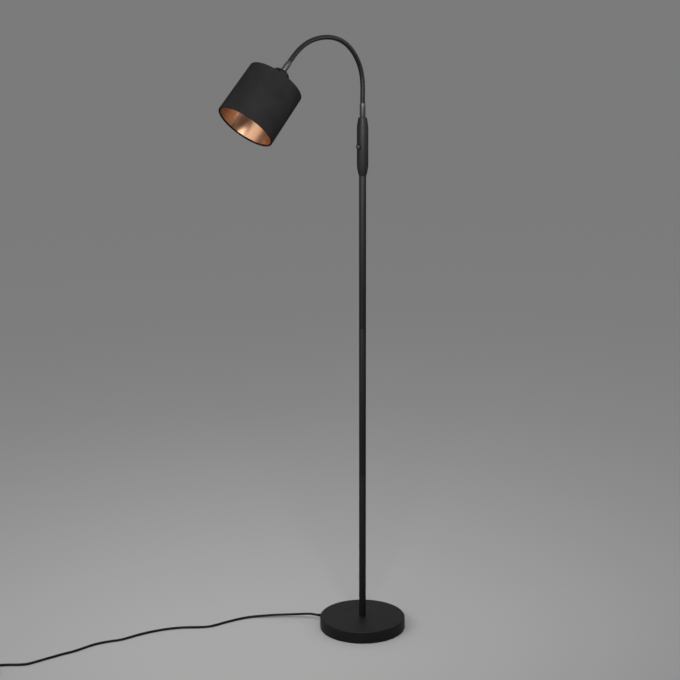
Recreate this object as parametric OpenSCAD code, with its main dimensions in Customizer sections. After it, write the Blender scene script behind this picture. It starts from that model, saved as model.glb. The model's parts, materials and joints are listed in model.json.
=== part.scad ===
// Floor lamp with a gooseneck arm and a fabric shade.
// Z is up. The origin is on the pole's axis, on the floor, and the neck arches towards -X.

/* [Base] */
// Diameter of the round base
base_d = 200; // [170:5:280]
// Height of the base's flat top above the floor
base_h = 29; // [28:1:40]
// Rounding of the base's top edge
base_edge = 3; // [2:0.5:6]
// Wall of the pressed steel cover
cover_wall = 1.2; // [0.8:0.1:1.6]
// Thickness of the foam pad under the base
pad_t = 1.5; // [1:0.5:3]
// Thickness of the closing plate
plate_t = 1.5; // [1:0.25:2.5]
// Height of the outer ring of the cast weight
weight_ring_h = 21; // [16:1:22]
// Height of the web between the weight's ring and boss
weight_web_h = 18; // [16:1:20]
// Outer diameter of the weight's central boss
boss_d = 76; // [70:2:90]
// Width of the weight's outer ring
weight_ring_w = 34; // [28:1:36]

/* [Anchor] */
// Outside diameter of the hollow threaded rod
rod_d = 10; // [10:0.5:11]
// Bore of the hollow threaded rod
rod_bore = 7; // [6:0.5:7]
// How far the rod stands up inside the pole
rod_rise = 21; // [15:1:24]
// Width of the anchor nut across its flats
nut_flats = 17; // [15:1:18]
// Thickness of the anchor nut
nut_t = 4.5; // [3:0.5:5]
// Diameter of the anchor washer
washer_d = 28; // [24:1:30]
// Thickness of the anchor washer
washer_t = 1.5; // [1:0.25:2]

/* [Pole] */
// Outside diameter of the pole
pole_d = 16; // [16:0.5:20]
// Wall of the pole
pole_wall = 1.2; // [0.8:0.1:1.4]
// Length of the pole from the base to the grip
pole_len = 1040; // [700:10:1300]
// Length of the bush in the pole's foot
foot_bush_len = 25; // [25:1:40]
// Length of the joiner inside each pole joint
joiner_len = 50; // [30:2:80]
// Bore of each joiner
joiner_bore = 9; // [7:0.5:10]

/* [Grip] */
// Outside diameter of the switch grip
grip_d = 25.6; // [25:0.2:32]
// Wall of the grip tube
grip_wall = 2; // [1.2:0.1:2.2]
// Length of the tube between its end caps
grip_len = 82.6; // [70:0.5:120]
// Height of the lower end cap
low_cap_h = 23; // [12:1:40]
// Height of the upper end cap
top_cap_h = 23; // [12:1:40]
// Diameter of the upper cap's top face
top_cap_d = 19; // [16:0.5:24]
// Outward swell of the upper cap's side
top_cap_swell_t = 0.35; // [0.1:0.05:0.8]
// Outward swell of the lower cap's side
low_cap_swell_t = 0.7; // [0.1:0.05:1]
// Length of the caps' spigots inside the tube
spigot_len = 8; // [5:1:12]
// Length of the lower cap's spigot inside the pole
pole_spigot_len = 18; // [10:1:30]

/* [Switch] */
// Height of the switch above the tube's lower end
switch_rise = 42; // [36:1:46]
// Direction that the switch faces, seen from above
switch_azimuth = 190; // [0:5:355]
// Width of the switch housing
switch_w = 13; // [12:0.5:14]
// Height of the switch housing
switch_h = 18; // [12:1:24]
// Diameter of the threaded bush through the grip
switch_bush_d = 10; // [9:0.5:11]
// Diameter of the collar round the button
collar_d = 13; // [12.5:0.5:16]
// How far the collar stands off the grip
collar_out = 2.2; // [1.5:0.1:4]
// Diameter of the push button
button_d = 5.6; // [4:0.1:6]
// How far the button stands off the collar
button_out = 2.3; // [2.2:0.1:4]
// Height of the button's domed end
button_dome = 1.4; // [0.5:0.1:2]
// Travel of the push button
button_travel = 2; // [1:0.1:2.1]

/* [Neck] */
// Outside diameter of the gooseneck
neck_d = 10.4; // [9:0.2:11]
// Bore of the gooseneck
neck_bore = 6; // [5:0.2:6.4]
// Length of each neck link between its pivots
link_len = 26; // [20:1:32]
// Diameter of the ferrules at the neck's ends
ferrule_d = 13; // [12.5:0.5:16]
// Length of the lower ferrule above the grip
low_ferrule_len = 31.4; // [24:0.5:40]
// Length of the upper ferrule above the lamp holder
top_ferrule_len = 25; // [22:0.5:40]
// Length of each ferrule's tapered tip
ferrule_taper = 7; // [4:0.5:10]
// Length of neck held inside each ferrule
neck_grip_len = 12; // [8:1:16]
// Length of the lower ferrule's threaded tail
low_tail_len = 37; // [34:1:40]
// Length of the upper ferrule's threaded tail
top_tail_len = 8; // [6:0.5:10]
// Diameter of the lead inside the neck and pole
core_d = 4.6; // [4:0.1:4.8]

/* [Lamp holder] */
// Diameter of the lamp holder's cap
holder_d = 38; // [37:0.5:42]
// Height of the cap's rounded shoulder
shoulder_h = 8; // [4:1:12]
// Height of the holder's cap
cap_h = 25; // [22:1:30]
// Wall of the cap and the skirt
holder_wall = 2; // [1.5:0.1:2.2]
// Length of the threaded skirt below the cap
skirt_len = 40; // [39:1:44]
// Distance from the cap down to the skirt's flange
flange_drop = 12; // [8:1:16]
// Diameter of the flange that the shade is clamped to
flange_d = 47; // [45:1:50]
// Thickness of that flange
flange_t = 3; // [2:0.5:4]
// Inside diameter of the lamp's screw shell
shell_bore = 26.6; // [26.6:0.1:27]
// Wall of the screw shell
shell_wall = 0.5; // [0.3:0.1:0.8]
// Length of the screw shell
shell_len = 21; // [18:1:23]
// Diameter of the sprung contact in the socket
contact_d = 8; // [6:0.5:10]
// Height of that contact
contact_h = 2; // [1.5:0.1:2.5]
// Depth of the well that the contact sits in
contact_well = 3; // [3:0.5:5]
// Diameter of the ring that clamps the shade
clamp_ring_d = 57; // [54:1:60]
// Height of that ring
clamp_ring_h = 7; // [5:0.5:9]

/* [Shade] */
// Outside diameter of the shade at its top
shade_top_d = 128; // [110:2:180]
// Outside diameter of the shade at its mouth
shade_bot_d = 132; // [112:2:200]
// Height of the shade
shade_h = 121; // [90:1:180]
// Distance from the shade's top rim down to its hub
hub_drop = 12; // [8:1:16]
// Thickness of the fabric
fabric_t = 0.8; // [0.6:0.1:1.2]
// Thickness of the foil lining
liner_t = 0.5; // [0.3:0.1:0.8]
// Diameter of the rolled hems
hem_d = 3.8; // [3.6:0.1:5]
// Diameter of the frame's wire
wire_d = 2.6; // [2.4:0.1:2.8]
// Diameter of the frame's spokes
spoke_d = 2.2; // [1.8:0.1:2.2]
// Thickness of the hub's ring
hub_t = 1.5; // [1:0.1:2]
// Number of spokes in the shade's frame
spoke_count = 3; // [3:1:4]

/* [Cord] */
// Diameter of the mains cord
cord_d = 5.5; // [5:0.1:5.6]
// Height of the cord's exit above the floor
exit_z = 13; // [12:0.5:14]
// Direction in which the cord leaves, seen from above
exit_azimuth = 122; // [120:1:124]
// Length of the strain relief outside the base
relief_len = 14; // [12:1:16]
// Length of the strain relief inside the base
relief_in = 10; // [8:1:12]
// Radius of the coil's outer turn
coil_r = 38; // [36:0.5:40]
// Step between the coil's turns
coil_step = 6; // [6:0.1:7]

/* [Plug] */
// Length of the plug's body
plug_len = 35; // [30:1:40]
// Width of the plug's body
plug_w = 26; // [25:1:35]
// Thickness of the plug's body
plug_t = 13.6; // [12:0.2:14]
// Length of the plug's strain relief
plug_relief = 24; // [20:1:30]
// Diameter of each pin's bare end
pin_d = 4; // [4:0.1:4.8]
// Length of each pin's bare end
pin_bare = 9; // [7:1:10]
// Diameter of each pin's insulated sleeve
pin_sleeve_d = 3.5; // [3:0.1:3.6]
// Length of each pin's insulated sleeve
pin_sleeve = 10; // [8:1:12]
// Distance between the pins
pin_spacing = 19; // [18:0.5:19]

/* [Hidden] */

$fn = 96;
// Overrun of every cut past the face that it opens
over = 1;
// Radial clearance of pieces that fit in one another
fit = 0.1;
// Radial clearance between a thread and its nut
thread_gap = 0.05;
// Running clearance of the button in its bush
button_fit = 0.08;
// Clearance between pieces that move past each other
move_gap = 0.3;

base_r = base_d / 2;
pole_r = pole_d / 2;
pole_in_r = pole_r - pole_wall;
rod_r = rod_d / 2;
grip_r = grip_d / 2;
grip_in_r = grip_r - grip_wall;
neck_r = neck_d / 2;
neck_bore_r = neck_bore / 2;
ferrule_r = ferrule_d / 2;
core_r = core_d / 2;
cord_r = cord_d / 2;

plate_top = pad_t + plate_t;
cover_top_in = base_h - cover_wall;
cover_in_r = base_r - cover_wall;
// Clearance between the weight and the cover's side wall
weight_gap = 1.5;
weight_r = cover_in_r - weight_gap;
pad_inset = 2;

// Recess under the weight's boss that holds the washer and the nut
recess_r = 18;
recess_top = 21;
washer_z = recess_top - washer_t;
nut_z = washer_z - nut_t;
rod_below_nut = 0.5;
rod_z = nut_z - rod_below_nut;

// Channel under the weight that leads the cord to its middle
channel_w = 9;
channel_over = 4;
bushing_pocket_over = 0.6;
relief_collar_r = 5.6;
relief_root_r = 4;
relief_tip_r = 3.4;
wall_groove_r = 4.2;

// Saddle that clamps the cord in the channel
clamp_at = 64;
clamp_len = 30;
clamp_w = 10;
clamp_t = 3;
clamp_screw_pitch = 20;
clamp_screw_d = 3.5;
clamp_head_d = 7;
clamp_head_h = 2.2;
clamp_screw_len = 8;

// Countersunk screws that hold the closing plate
plate_screw_pitch_r = 78;
plate_screw_count = 3;
plate_screw_turn = 62;
plate_screw_d = 4;
plate_screw_head_d = 7.4;
plate_screw_len = 12;

// Clearance of the cord from the floor and of its pieces from one another
cord_lift = 0.2;
// Cord inside the base: the sheath's end, then the cores' way as [distance from the pole, height]
sheath_end = 50;
lead_places = [
    [sheath_end + over, exit_z], [sheath_end - cord_d, exit_z - cord_lift], [36, 10.5], [28, 8.2],
    [20, 7], [12, 6.6], [5.5, 8], [1.4, 11.6], [0, 16.6], [0, 24], [0, 40]];

// The pole screws together from three equal lengths
pole_part = pole_len / 3;
grip_z = base_h + pole_len;
tube_z = grip_z + low_cap_h;
tube_top = tube_z + grip_len;
grip_top = tube_top + top_cap_h;
neck_z = grip_top + low_ferrule_len;
// Step by which the lower cap stands proud of the pole
cap_step = 0.15;
cap_bore_r = 3.5;
cap_steps = 4;

switch_z = tube_z + switch_rise;
switch_back = 8;
switch_front = 8.2;
// Wall of the housing in front of the button's flange
switch_wall = 0.4;
button_flange_r = 4;
button_flange_t = 1.5;
cavity_r = button_flange_r + move_gap;
collar_face = grip_r + collar_out;
button_tip = collar_face + button_out;
// The button's flange rests just behind the front of its cavity
cavity_front = switch_front - switch_wall;
flange_front = cavity_front - move_gap;

// Turn of each neck link in degrees, from the lower ferrule to the upper one
neck_bends = [-1, 7.5, 13.5, 13.5, 14.5, 18, 16.5, 13, 12, 14, 13, 4.5];
link_count = len(neck_bends);
// The balls are a little smaller than the links, and turn in sockets that clear them
ball_r = neck_r - fit;
socket_r = ball_r + move_gap;
// Length of each ball or held end that reaches into its link's wall
seam_len = 1;
ferrule_lip = 0.5;
locknut_flats = 16;
locknut_t = 5;

// Room between the cap's shoulder and the insert, where the wires turn
insert_seat = 3;
// Levels along the head's axis, counted from the neck's end
cap_s = top_ferrule_len;
cap_end_s = cap_s + cap_h;
insert_s = cap_s + shoulder_h + insert_seat;
flange_s = cap_end_s + flange_drop;
hub_s = flange_s + flange_t;
ring_s = hub_s + hub_t;
shade_s = hub_s - hub_drop;
shade_end_s = shade_s + shade_h;
skirt_end_s = cap_end_s + skirt_len;
skirt_lip = 4;
shell_s = skirt_end_s - skirt_lip - shell_len;
skirt_r = holder_d / 2;
skirt_in_r = skirt_r - holder_wall;
insert_r = skirt_in_r - fit;
shell_r = shell_bore / 2;
shell_out_r = shell_r + shell_wall;
cap_bore_in = 5;
// Room round the contact in its well
well_gap = 1;

hem_r = hem_d / 2;
wire_r = wire_d / 2;
spoke_r = spoke_d / 2;
top_ring_r = shade_top_d / 2 - hem_r;
bot_ring_r = shade_bot_d / 2 - hem_r;

// Places of the cord, in millimetres on the floor: the free run between the base and the coil
cord_points = [
    [-73, 115, 13.1], [-95, 139, 9.6], [-116, 157.5, 7.8], [-134, 171, 7], [-156, 187, 5.3],
    [-180, 202.5, 3.6], [-208, 210.5, 2.95], [-243, 213.4, 2.95], [-276, 214, 2.95],
    [-294, 216.5, 2.95], [-314, 227, 2.95], [-340, 245, 2.95], [-367, 258.5, 2.95],
    [-400, 268.6, 2.95], [-437, 274, 2.95], [-469, 274.4, 2.95], [-495, 274.2, 2.95],
    [-521, 281.5, 2.95], [-541, 286, 2.95], [-563, 287.4, 2.95], [-588, 284.6, 2.95],
    [-614, 282, 2.95], [-648, 283.3, 2.95], [-706, 282.4, 2.95], [-727, 283, 2.95],
    [-743, 290, 2.95], [-770, 309, 3]];
cord_sides = 8;
span_steps = 3;
coil_centre = [-835, 300];
coil_entry = 53;
coil_turns = 5;
loop_rings = 24;
coil_sides = 6;
tail_len = 24;
tail_level = 3;
tail_steps = 6;
plug_axis_z = 7;
tie_t = 0.6;
tie_w = 9;
tie_gap = 0.25;
tie_side_gap = 0.9;
tie_turn_share = 0.25;
coil_z = cord_r + tie_gap + tie_t + cord_lift;

// Straight unit vector at an angle on the floor
function heading(a) = [cos(a), sin(a), 0];
function unit(v) = v / norm(v);

// Sum of the turns of the first n links, and the place of their end as [reach, height]
function neck_angle(n) = n <= 0 ? 0 : neck_angle(n - 1) + neck_bends[n - 1];
function chord(bend) = bend == 0 ? link_len : link_len * sin(bend / 2) / (bend / 2 * PI / 180);
function neck_step(n) =
    let (mid = neck_angle(n - 1) + neck_bends[n - 1] / 2)
    chord(neck_bends[n - 1]) * [sin(mid), cos(mid)];
function neck_point(n) = n <= 0 ? [0, neck_z] : neck_point(n - 1) + neck_step(n);
// Middle of a link, on its arc
function neck_middle(n) =
    let (half = neck_bends[n - 1] / 2, mid = neck_angle(n - 1) + half / 2)
    neck_point(n - 1) + chord(half) / 2 * [sin(mid), cos(mid)];
function in_plane(p) = [-p.x, 0, p.y];

// Smooth curve through a list of points, with the same number of steps on each span
function spline_point(a, b, c, d, t) =
    (2 * b + (c - a) * t + (2 * a - 5 * b + 4 * c - d) * t * t
        + (3 * b - a - 3 * c + d) * t * t * t) / 2;
function spline(p, steps) = concat(
    [for (i = [1 : len(p) - 3], k = [0 : steps - 1])
        spline_point(p[i - 1], p[i], p[i + 1], p[i + 2], k / steps)],
    [p[len(p) - 2]]);

// Tube swept along a path: one ring of points round each path point
function path_way(p, i) = unit(p[min(i + 1, len(p) - 1)] - p[max(i - 1, 0)]);
function ring_of(p, i, r, sides, side) =
    let (way = path_way(p, i),
         across = unit(side == undef ? cross(way, [0, 0, 1]) : side - way * (side * way)),
         up = cross(across, way))
    [for (k = [0 : sides - 1])
        p[i] + r * (cos(360 * k / sides) * across + sin(360 * k / sides) * up)];

// Closed solid through a list of rings that have the same number of points
module lofted(rings) {
    count = len(rings);
    sides = len(rings[0]);
    last = (count - 1) * sides;
    walls = [for (i = [0 : count - 2], k = [0 : sides - 1])
        let (a = i * sides + k, b = i * sides + (k + 1) % sides)
        each [[a, b, b + sides], [a, b + sides, a + sides]]];
    start = [for (k = [1 : sides - 2]) [0, k + 1, k]];
    end = [for (k = [1 : sides - 2]) [last, last + k, last + k + 1]];
    polyhedron(
        points = [for (ring = rings) each ring],
        faces = concat(walls, start, end),
        convexity = 10);
}

module swept_tube(path, r, sides, side = undef) {
    lofted([for (i = [0 : len(path) - 1]) ring_of(path, i, r, sides, side)]);
}

// Plain turned forms
module tube(outer_r, inner_r, h) {
    difference() {
        cylinder(r = outer_r, h = h);
        translate([0, 0, -over]) cylinder(r = inner_r, h = h + 2 * over);
    }
}

module hex_nut(flats, bore_r, h) {
    difference() {
        cylinder(d = flats / cos(30), h = h, $fn = 6);
        translate([0, 0, -over]) cylinder(r = bore_r, h = h + 2 * over);
    }
}

// Disc with a rounded top edge
module rounded_disc(r, h, edge) {
    rotate_extrude() {
        square([r, h - edge]);
        square([r - edge, h]);
        intersection() {
            translate([r - edge, h - edge]) circle(r = edge);
            square([r, h]);
        }
    }
}

// Places children along the cord's exit, with X running outwards
module along_exit(at = 0, z = exit_z) {
    rotate([0, 0, exit_azimuth]) translate([at, 0, z]) children();
}

module outward_rod(r, from, to) {
    translate([from, 0, 0]) rotate([0, 90, 0]) cylinder(r = r, h = to - from);
}

// Base
module base_pad() {
    color("dimgray") cylinder(r = base_r - pad_inset, h = pad_t);
}

module plate_screw_places() {
    for (i = [0 : plate_screw_count - 1])
        rotate([0, 0, plate_screw_turn + 360 * i / plate_screw_count])
            translate([plate_screw_pitch_r, 0, pad_t]) children();
}

module countersunk(gap) {
    cylinder(d1 = plate_screw_head_d + 2 * gap, d2 = plate_screw_d + 2 * gap, h = plate_t);
}

module base_plate() {
    color("silver") difference() {
        translate([0, 0, pad_t]) cylinder(r = cover_in_r - fit, h = plate_t);
        translate([0, 0, pad_t - over]) cylinder(r = recess_r, h = plate_t + 2 * over);
        plate_screw_places() countersunk(fit);
    }
}

module plate_screws() {
    color("silver") plate_screw_places() {
        countersunk(0);
        translate([0, 0, plate_t]) cylinder(d = plate_screw_d, h = plate_screw_len);
    }
}

module clamp_screw_places() {
    along_exit(clamp_at, exit_z - cord_r - clamp_t)
        for (side = [-1, 1]) translate([0, side * clamp_screw_pitch / 2, 0]) children();
}

// Channel, pocket and recess on the weight's underside
module weight_cuts() {
    translate([0, 0, plate_top - over]) cylinder(r = recess_r, h = recess_top - plate_top + over);
    cylinder(r = rod_r + fit, h = base_h);
    along_exit(0, plate_top - over)
        translate([0, -channel_w / 2, 0])
            cube([base_r, channel_w, exit_z - plate_top + channel_over + over]);
    pocket_r = relief_collar_r + bushing_pocket_over;
    along_exit(cover_in_r - relief_in - bushing_pocket_over, plate_top - over)
        translate([0, -pocket_r, 0])
            cube([base_r, 2 * pocket_r, exit_z - plate_top + pocket_r + over]);
    along_exit(clamp_at, plate_top - over)
        translate([-clamp_w / 2 - fit, -clamp_len / 2 - fit, 0])
            cube([clamp_w + 2 * fit, clamp_len + 2 * fit, exit_z - cord_r - plate_top + over]);
    clamp_screw_places()
        cylinder(d = clamp_screw_d + 2 * thread_gap, h = clamp_t + clamp_screw_len + over);
    plate_screw_places()
        cylinder(d = plate_screw_d + 2 * thread_gap, h = plate_t + plate_screw_len + over);
}

module base_weight() {
    color("dimgray") difference() {
        translate([0, 0, plate_top]) union() {
            tube(weight_r, weight_r - weight_ring_w, weight_ring_h);
            cylinder(r = weight_r, h = weight_web_h);
            cylinder(d = boss_d, h = cover_top_in - plate_top);
        }
        weight_cuts();
    }
}

module base_cover() {
    skirt_h = base_h - pad_t;
    color("#1c1c1e") difference() {
        translate([0, 0, pad_t]) rounded_disc(base_r, skirt_h, base_edge);
        translate([0, 0, pad_t - over])
            rounded_disc(cover_in_r, skirt_h - cover_wall + over, base_edge - cover_wall);
        translate([0, 0, base_h - cover_wall - over])
            cylinder(r = rod_r + fit, h = cover_wall + 2 * over);
        along_exit() outward_rod(wall_groove_r + fit, cover_in_r - 2 * cover_wall, base_r + over);
    }
}

module anchor_rod() {
    color("goldenrod") translate([0, 0, rod_z])
        tube(rod_r, rod_bore / 2, base_h + rod_rise - rod_z);
}

module anchor_washer() {
    color("silver") translate([0, 0, washer_z]) tube(washer_d / 2, rod_r + fit, washer_t);
}

module anchor_nut() {
    color("silver") translate([0, 0, nut_z]) hex_nut(nut_flats, rod_r + thread_gap, nut_t);
}

// Tapered strain relief, snapped into the base's side wall
module cord_bushing() {
    collar_from = cover_in_r - relief_in;
    color("#161617") along_exit() difference() {
        union() {
            difference() {
                outward_rod(relief_collar_r, collar_from, base_r);
                translate([0, 0, -base_h]) tube(2 * base_r, cover_in_r - fit, 2 * base_h);
            }
            outward_rod(wall_groove_r, collar_from, base_r);
            translate([base_r, 0, 0]) rotate([0, 90, 0])
                cylinder(r1 = relief_root_r, r2 = relief_tip_r, h = relief_len);
            difference() {
                outward_rod(relief_collar_r, base_r - cover_wall, base_r + cover_wall);
                translate([0, 0, -base_h]) cylinder(r = base_r + fit, h = 2 * base_h);
            }
        }
        outward_rod(cord_r + fit, collar_from - over, base_r + relief_len + over);
    }
}

module cord_clamp() {
    color("ivory") difference() {
        along_exit(clamp_at, exit_z - cord_r - clamp_t)
            translate([-clamp_w / 2, -clamp_len / 2, 0]) cube([clamp_w, clamp_len, clamp_t - fit]);
        clamp_screw_places()
            translate([0, 0, -over]) cylinder(d = clamp_screw_d + 2 * fit, h = clamp_t + 2 * over);
    }
}

module clamp_screws() {
    color("silver") clamp_screw_places() {
        translate([0, 0, -clamp_head_h]) cylinder(d = clamp_head_d, h = clamp_head_h);
        cylinder(d = clamp_screw_d, h = clamp_t + clamp_screw_len);
    }
}

// Sheathed cord in the base, and its cores up the pole to the switch
module supply_lead() {
    side = heading(exit_azimuth + 90);
    way = heading(exit_azimuth);
    core = [for (p = lead_places) way * p.x + [0, 0, p.y]];
    guide = concat([core[0] + way * over], core, [core[len(core) - 1] + [0, 0, over]]);
    path = concat(spline(guide, span_steps), [[0, 0, switch_z - switch_h / 2]]);
    color("#161617") {
        along_exit() outward_rod(cord_r, sheath_end, base_r + relief_len);
        swept_tube(path, core_r, cord_sides, side);
    }
}

// Pole
module pole_length(n) {
    color("#1c1c1e") translate([0, 0, base_h + n * pole_part])
        tube(pole_r, pole_in_r, pole_part);
}

module pole_foot_bush() {
    color("silver") translate([0, 0, base_h])
        tube(pole_in_r - fit, rod_r + thread_gap, foot_bush_len);
}

module pole_lower() { pole_length(0); }
module pole_middle() { pole_length(1); }
module pole_upper() { pole_length(2); }

module pole_joiner(n) {
    color("silver") translate([0, 0, base_h + n * pole_part - joiner_len / 2])
        tube(pole_in_r - fit, joiner_bore / 2, joiner_len);
}

module pole_joiner_1() { pole_joiner(1); }
module pole_joiner_2() { pole_joiner(2); }

// Grip
// Solid of revolution whose side swells outwards from one radius to another
module swollen_cone(from_r, to_r, h, swell) {
    function side_r(t) = from_r + (to_r - from_r) * t + 4 * swell * t * (1 - t);
    rotate_extrude() polygon(concat(
        [[0, 0]],
        [for (k = [0 : cap_steps]) [side_r(k / cap_steps), h * k / cap_steps]],
        [[0, h]]));
}

module grip_bottom_cap() {
    color("#1c1c1e") translate([0, 0, grip_z]) difference() {
        union() {
            swollen_cone(pole_r + cap_step, grip_r, low_cap_h, low_cap_swell_t);
            cylinder(r = grip_in_r - fit, h = low_cap_h + spigot_len);
            translate([0, 0, -pole_spigot_len]) cylinder(r = pole_in_r - fit, h = pole_spigot_len);
        }
        translate([0, 0, -pole_spigot_len - over])
            cylinder(r = cap_bore_r, h = low_cap_h + spigot_len + pole_spigot_len + 2 * over);
    }
}

module facing_switch() {
    translate([0, 0, switch_z]) rotate([0, 0, switch_azimuth]) children();
}

module grip_body() {
    color("#1c1c1e") difference() {
        translate([0, 0, tube_z]) tube(grip_r, grip_in_r, grip_len);
        facing_switch() outward_rod(switch_bush_d / 2 + fit, 0, grip_r + over);
    }
}

module grip_top_cap() {
    color("#1c1c1e") translate([0, 0, tube_top]) difference() {
        union() {
            swollen_cone(grip_r, top_cap_d / 2, top_cap_h, top_cap_swell_t);
            translate([0, 0, -spigot_len]) cylinder(r = grip_in_r - fit, h = spigot_len + over);
        }
        translate([0, 0, -spigot_len - over])
            cylinder(r = rod_r + thread_gap, h = top_cap_h + spigot_len + 2 * over);
    }
}

// Switch
module switch_body() {
    color("#2a2a2c") facing_switch() difference() {
        union() {
            translate([-switch_back, -switch_w / 2, -switch_h / 2])
                cube([switch_back + switch_front, switch_w, switch_h]);
            outward_rod(switch_bush_d / 2, 0, collar_face - move_gap);
        }
        outward_rod(cavity_r, flange_front - button_flange_t - button_travel - move_gap,
            cavity_front);
        outward_rod(button_d / 2 + button_fit, 0, collar_face + over);
    }
}

module switch_collar() {
    color("#2a2a2c") facing_switch() difference() {
        outward_rod(collar_d / 2, grip_in_r, collar_face);
        outward_rod(switch_bush_d / 2 + thread_gap, 0, collar_face + over);
        translate([0, 0, -collar_d]) cylinder(r = grip_r + thread_gap, h = 2 * collar_d);
    }
}

module switch_button() {
    button_r = button_d / 2;
    dome_r = (button_r * button_r + button_dome * button_dome) / (2 * button_dome);
    root = flange_front - button_flange_t;
    color("#3a3a3c") facing_switch() rotate([0, 90, 0]) rotate_extrude() {
        translate([0, root]) square([button_flange_r, button_flange_t]);
        intersection() {
            translate([0, button_tip - dome_r]) circle(r = dome_r);
            translate([0, button_tip - dome_r]) square([button_r, dome_r]);
        }
        translate([0, root]) square([button_r, button_tip - dome_r - root + over / 2]);
    }
}

// Neck
module at_neck(n) {
    p = neck_point(n);
    translate(in_plane(p)) rotate([0, -neck_angle(n), 0]) children();
}

// Tube that starts along Z and bends towards -X
module bent_tube(bend) {
    arc_r = link_len / (abs(bend) * PI / 180);
    turn = bend < 0 ? 180 : 0;
    rotate([0, 0, turn]) translate([-arc_r, 0, 0]) rotate([90, 0, 0])
        rotate_extrude(angle = abs(bend), $fn = 4 * $fn) translate([arc_r, 0]) difference() {
            circle(r = neck_r, $fn = 48);
            circle(r = neck_bore_r, $fn = 48);
        }
}

// Bored ball on the end of a link, rooted inside the link's wall
module ball_end() {
    rotate_extrude() intersection() {
        circle(r = ball_r);
        translate([neck_bore_r + fit, -seam_len]) square([ball_r, ball_r + seam_len]);
    }
}

// Straight stretch of neck that a ferrule holds, rooted inside the bent stretch's wall
module held_end() {
    translate([0, 0, -seam_len])
        tube(neck_r - thread_gap, neck_bore_r + thread_gap, neck_grip_len + seam_len);
}

// One neck link, with a ball at its upper end and a socket at its lower end
module neck_link(n) {
    color("#17171a") difference() {
        union() {
            at_neck(n - 1) bent_tube(neck_bends[n - 1]);
            if (n == 1) at_neck(0) mirror([0, 0, 1]) held_end();
            if (n < link_count) at_neck(n) ball_end();
            if (n == link_count) at_neck(n) held_end();
        }
        if (n > 1) at_neck(n - 1) sphere(r = socket_r);
    }
}

module neck_link_01() { neck_link(1); }
module neck_link_02() { neck_link(2); }
module neck_link_03() { neck_link(3); }
module neck_link_04() { neck_link(4); }
module neck_link_05() { neck_link(5); }
module neck_link_06() { neck_link(6); }
module neck_link_07() { neck_link(7); }
module neck_link_08() { neck_link(8); }
module neck_link_09() { neck_link(9); }
module neck_link_10() { neck_link(10); }
module neck_link_11() { neck_link(11); }
module neck_link_12() { neck_link(12); }

// Ferrule with its tapered tip at Z = 0 and its threaded tail below
module ferrule(len, tail) {
    color("#1c1c1e") difference() {
        union() {
            translate([0, 0, -ferrule_taper])
                cylinder(r1 = ferrule_r, r2 = neck_r + ferrule_lip, h = ferrule_taper);
            translate([0, 0, -len]) cylinder(r = ferrule_r, h = len - ferrule_taper);
            translate([0, 0, -len - tail]) cylinder(r = rod_r, h = tail + over);
        }
        translate([0, 0, -neck_grip_len - fit]) cylinder(r = neck_r + fit, h = neck_grip_len + over);
        translate([0, 0, -len - tail - over]) cylinder(r = neck_bore_r + fit, h = len + tail);
    }
}

module neck_ferrule_lower() { at_neck(0) ferrule(low_ferrule_len, low_tail_len); }
module neck_ferrule_upper() {
    at_neck(link_count) mirror([0, 0, 1]) ferrule(top_ferrule_len, top_tail_len);
}

module neck_locknut() {
    color("silver") translate([0, 0, tube_top - spigot_len - locknut_t])
        hex_nut(locknut_flats, rod_r + thread_gap, locknut_t);
}

// Lead from the switch through the neck to the lamp holder
module neck_lead() {
    link_places = [for (n = [1 : link_count]) each [neck_middle(n), neck_point(n)]];
    tip = neck_angle(link_count);
    holder_end = neck_point(link_count) + insert_s * [sin(tip), cos(tip)];
    flat = concat([[0, switch_z + switch_h / 2], [0, neck_z]], link_places, [holder_end]);
    color("#161617") swept_tube([for (p = flat) in_plane(p)], core_r, cord_sides, [0, 1, 0]);
}

// Head, along the axis of the neck's end
module at_head(s = 0) { at_neck(link_count) translate([0, 0, s]) children(); }

module holder_cap() {
    r = holder_d / 2;
    boss_r = ferrule_r + over;
    shoulder_w = r - boss_r;
    module dome(outer_r, h, rise) {
        rotate_extrude() {
            intersection() {
                translate([boss_r, rise]) scale([1, rise / shoulder_w])
                    circle(r = outer_r - boss_r);
                square([outer_r, rise]);
            }
            square([boss_r, rise]);
            translate([0, rise]) square([outer_r, h - rise]);
        }
    }
    color("#1a1a1c") at_head(cap_s) difference() {
        dome(r, cap_h, shoulder_h);
        translate([0, 0, shoulder_h]) cylinder(r = r - holder_wall, h = cap_h);
        translate([0, 0, -over]) cylinder(r = rod_r + thread_gap, h = cap_h);
    }
}

module holder_insert() {
    color("ivory") difference() {
        at_head(insert_s) cylinder(r = insert_r, h = shell_s - insert_s);
        at_head(insert_s - over) cylinder(r = core_r + fit, h = cap_bore_in + over);
        at_head(shell_s - contact_well)
            cylinder(r = contact_d / 2 + well_gap, h = contact_well + over);
    }
}

module holder_skirt() {
    color("#1a1a1c") difference() {
        union() {
            at_head(cap_end_s) cylinder(r = skirt_r, h = skirt_len);
            at_head(flange_s) cylinder(d = flange_d, h = flange_t);
        }
        at_head(cap_end_s - over) cylinder(r = skirt_in_r, h = skirt_len - skirt_lip + over);
        at_head(skirt_end_s - skirt_lip - over) cylinder(r = shell_out_r, h = skirt_lip + 2 * over);
    }
}

module screw_shell() {
    color("goldenrod") at_head(shell_s) tube(shell_out_r, shell_r, shell_len);
}

// Sprung contact in the well at the bottom of the socket
module centre_contact() {
    color("goldenrod") at_head(shell_s - contact_well) {
        cylinder(d = contact_d, h = contact_h / 2);
        cylinder(d1 = contact_d / 2, d2 = contact_d / 4, h = contact_h);
    }
}

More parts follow.
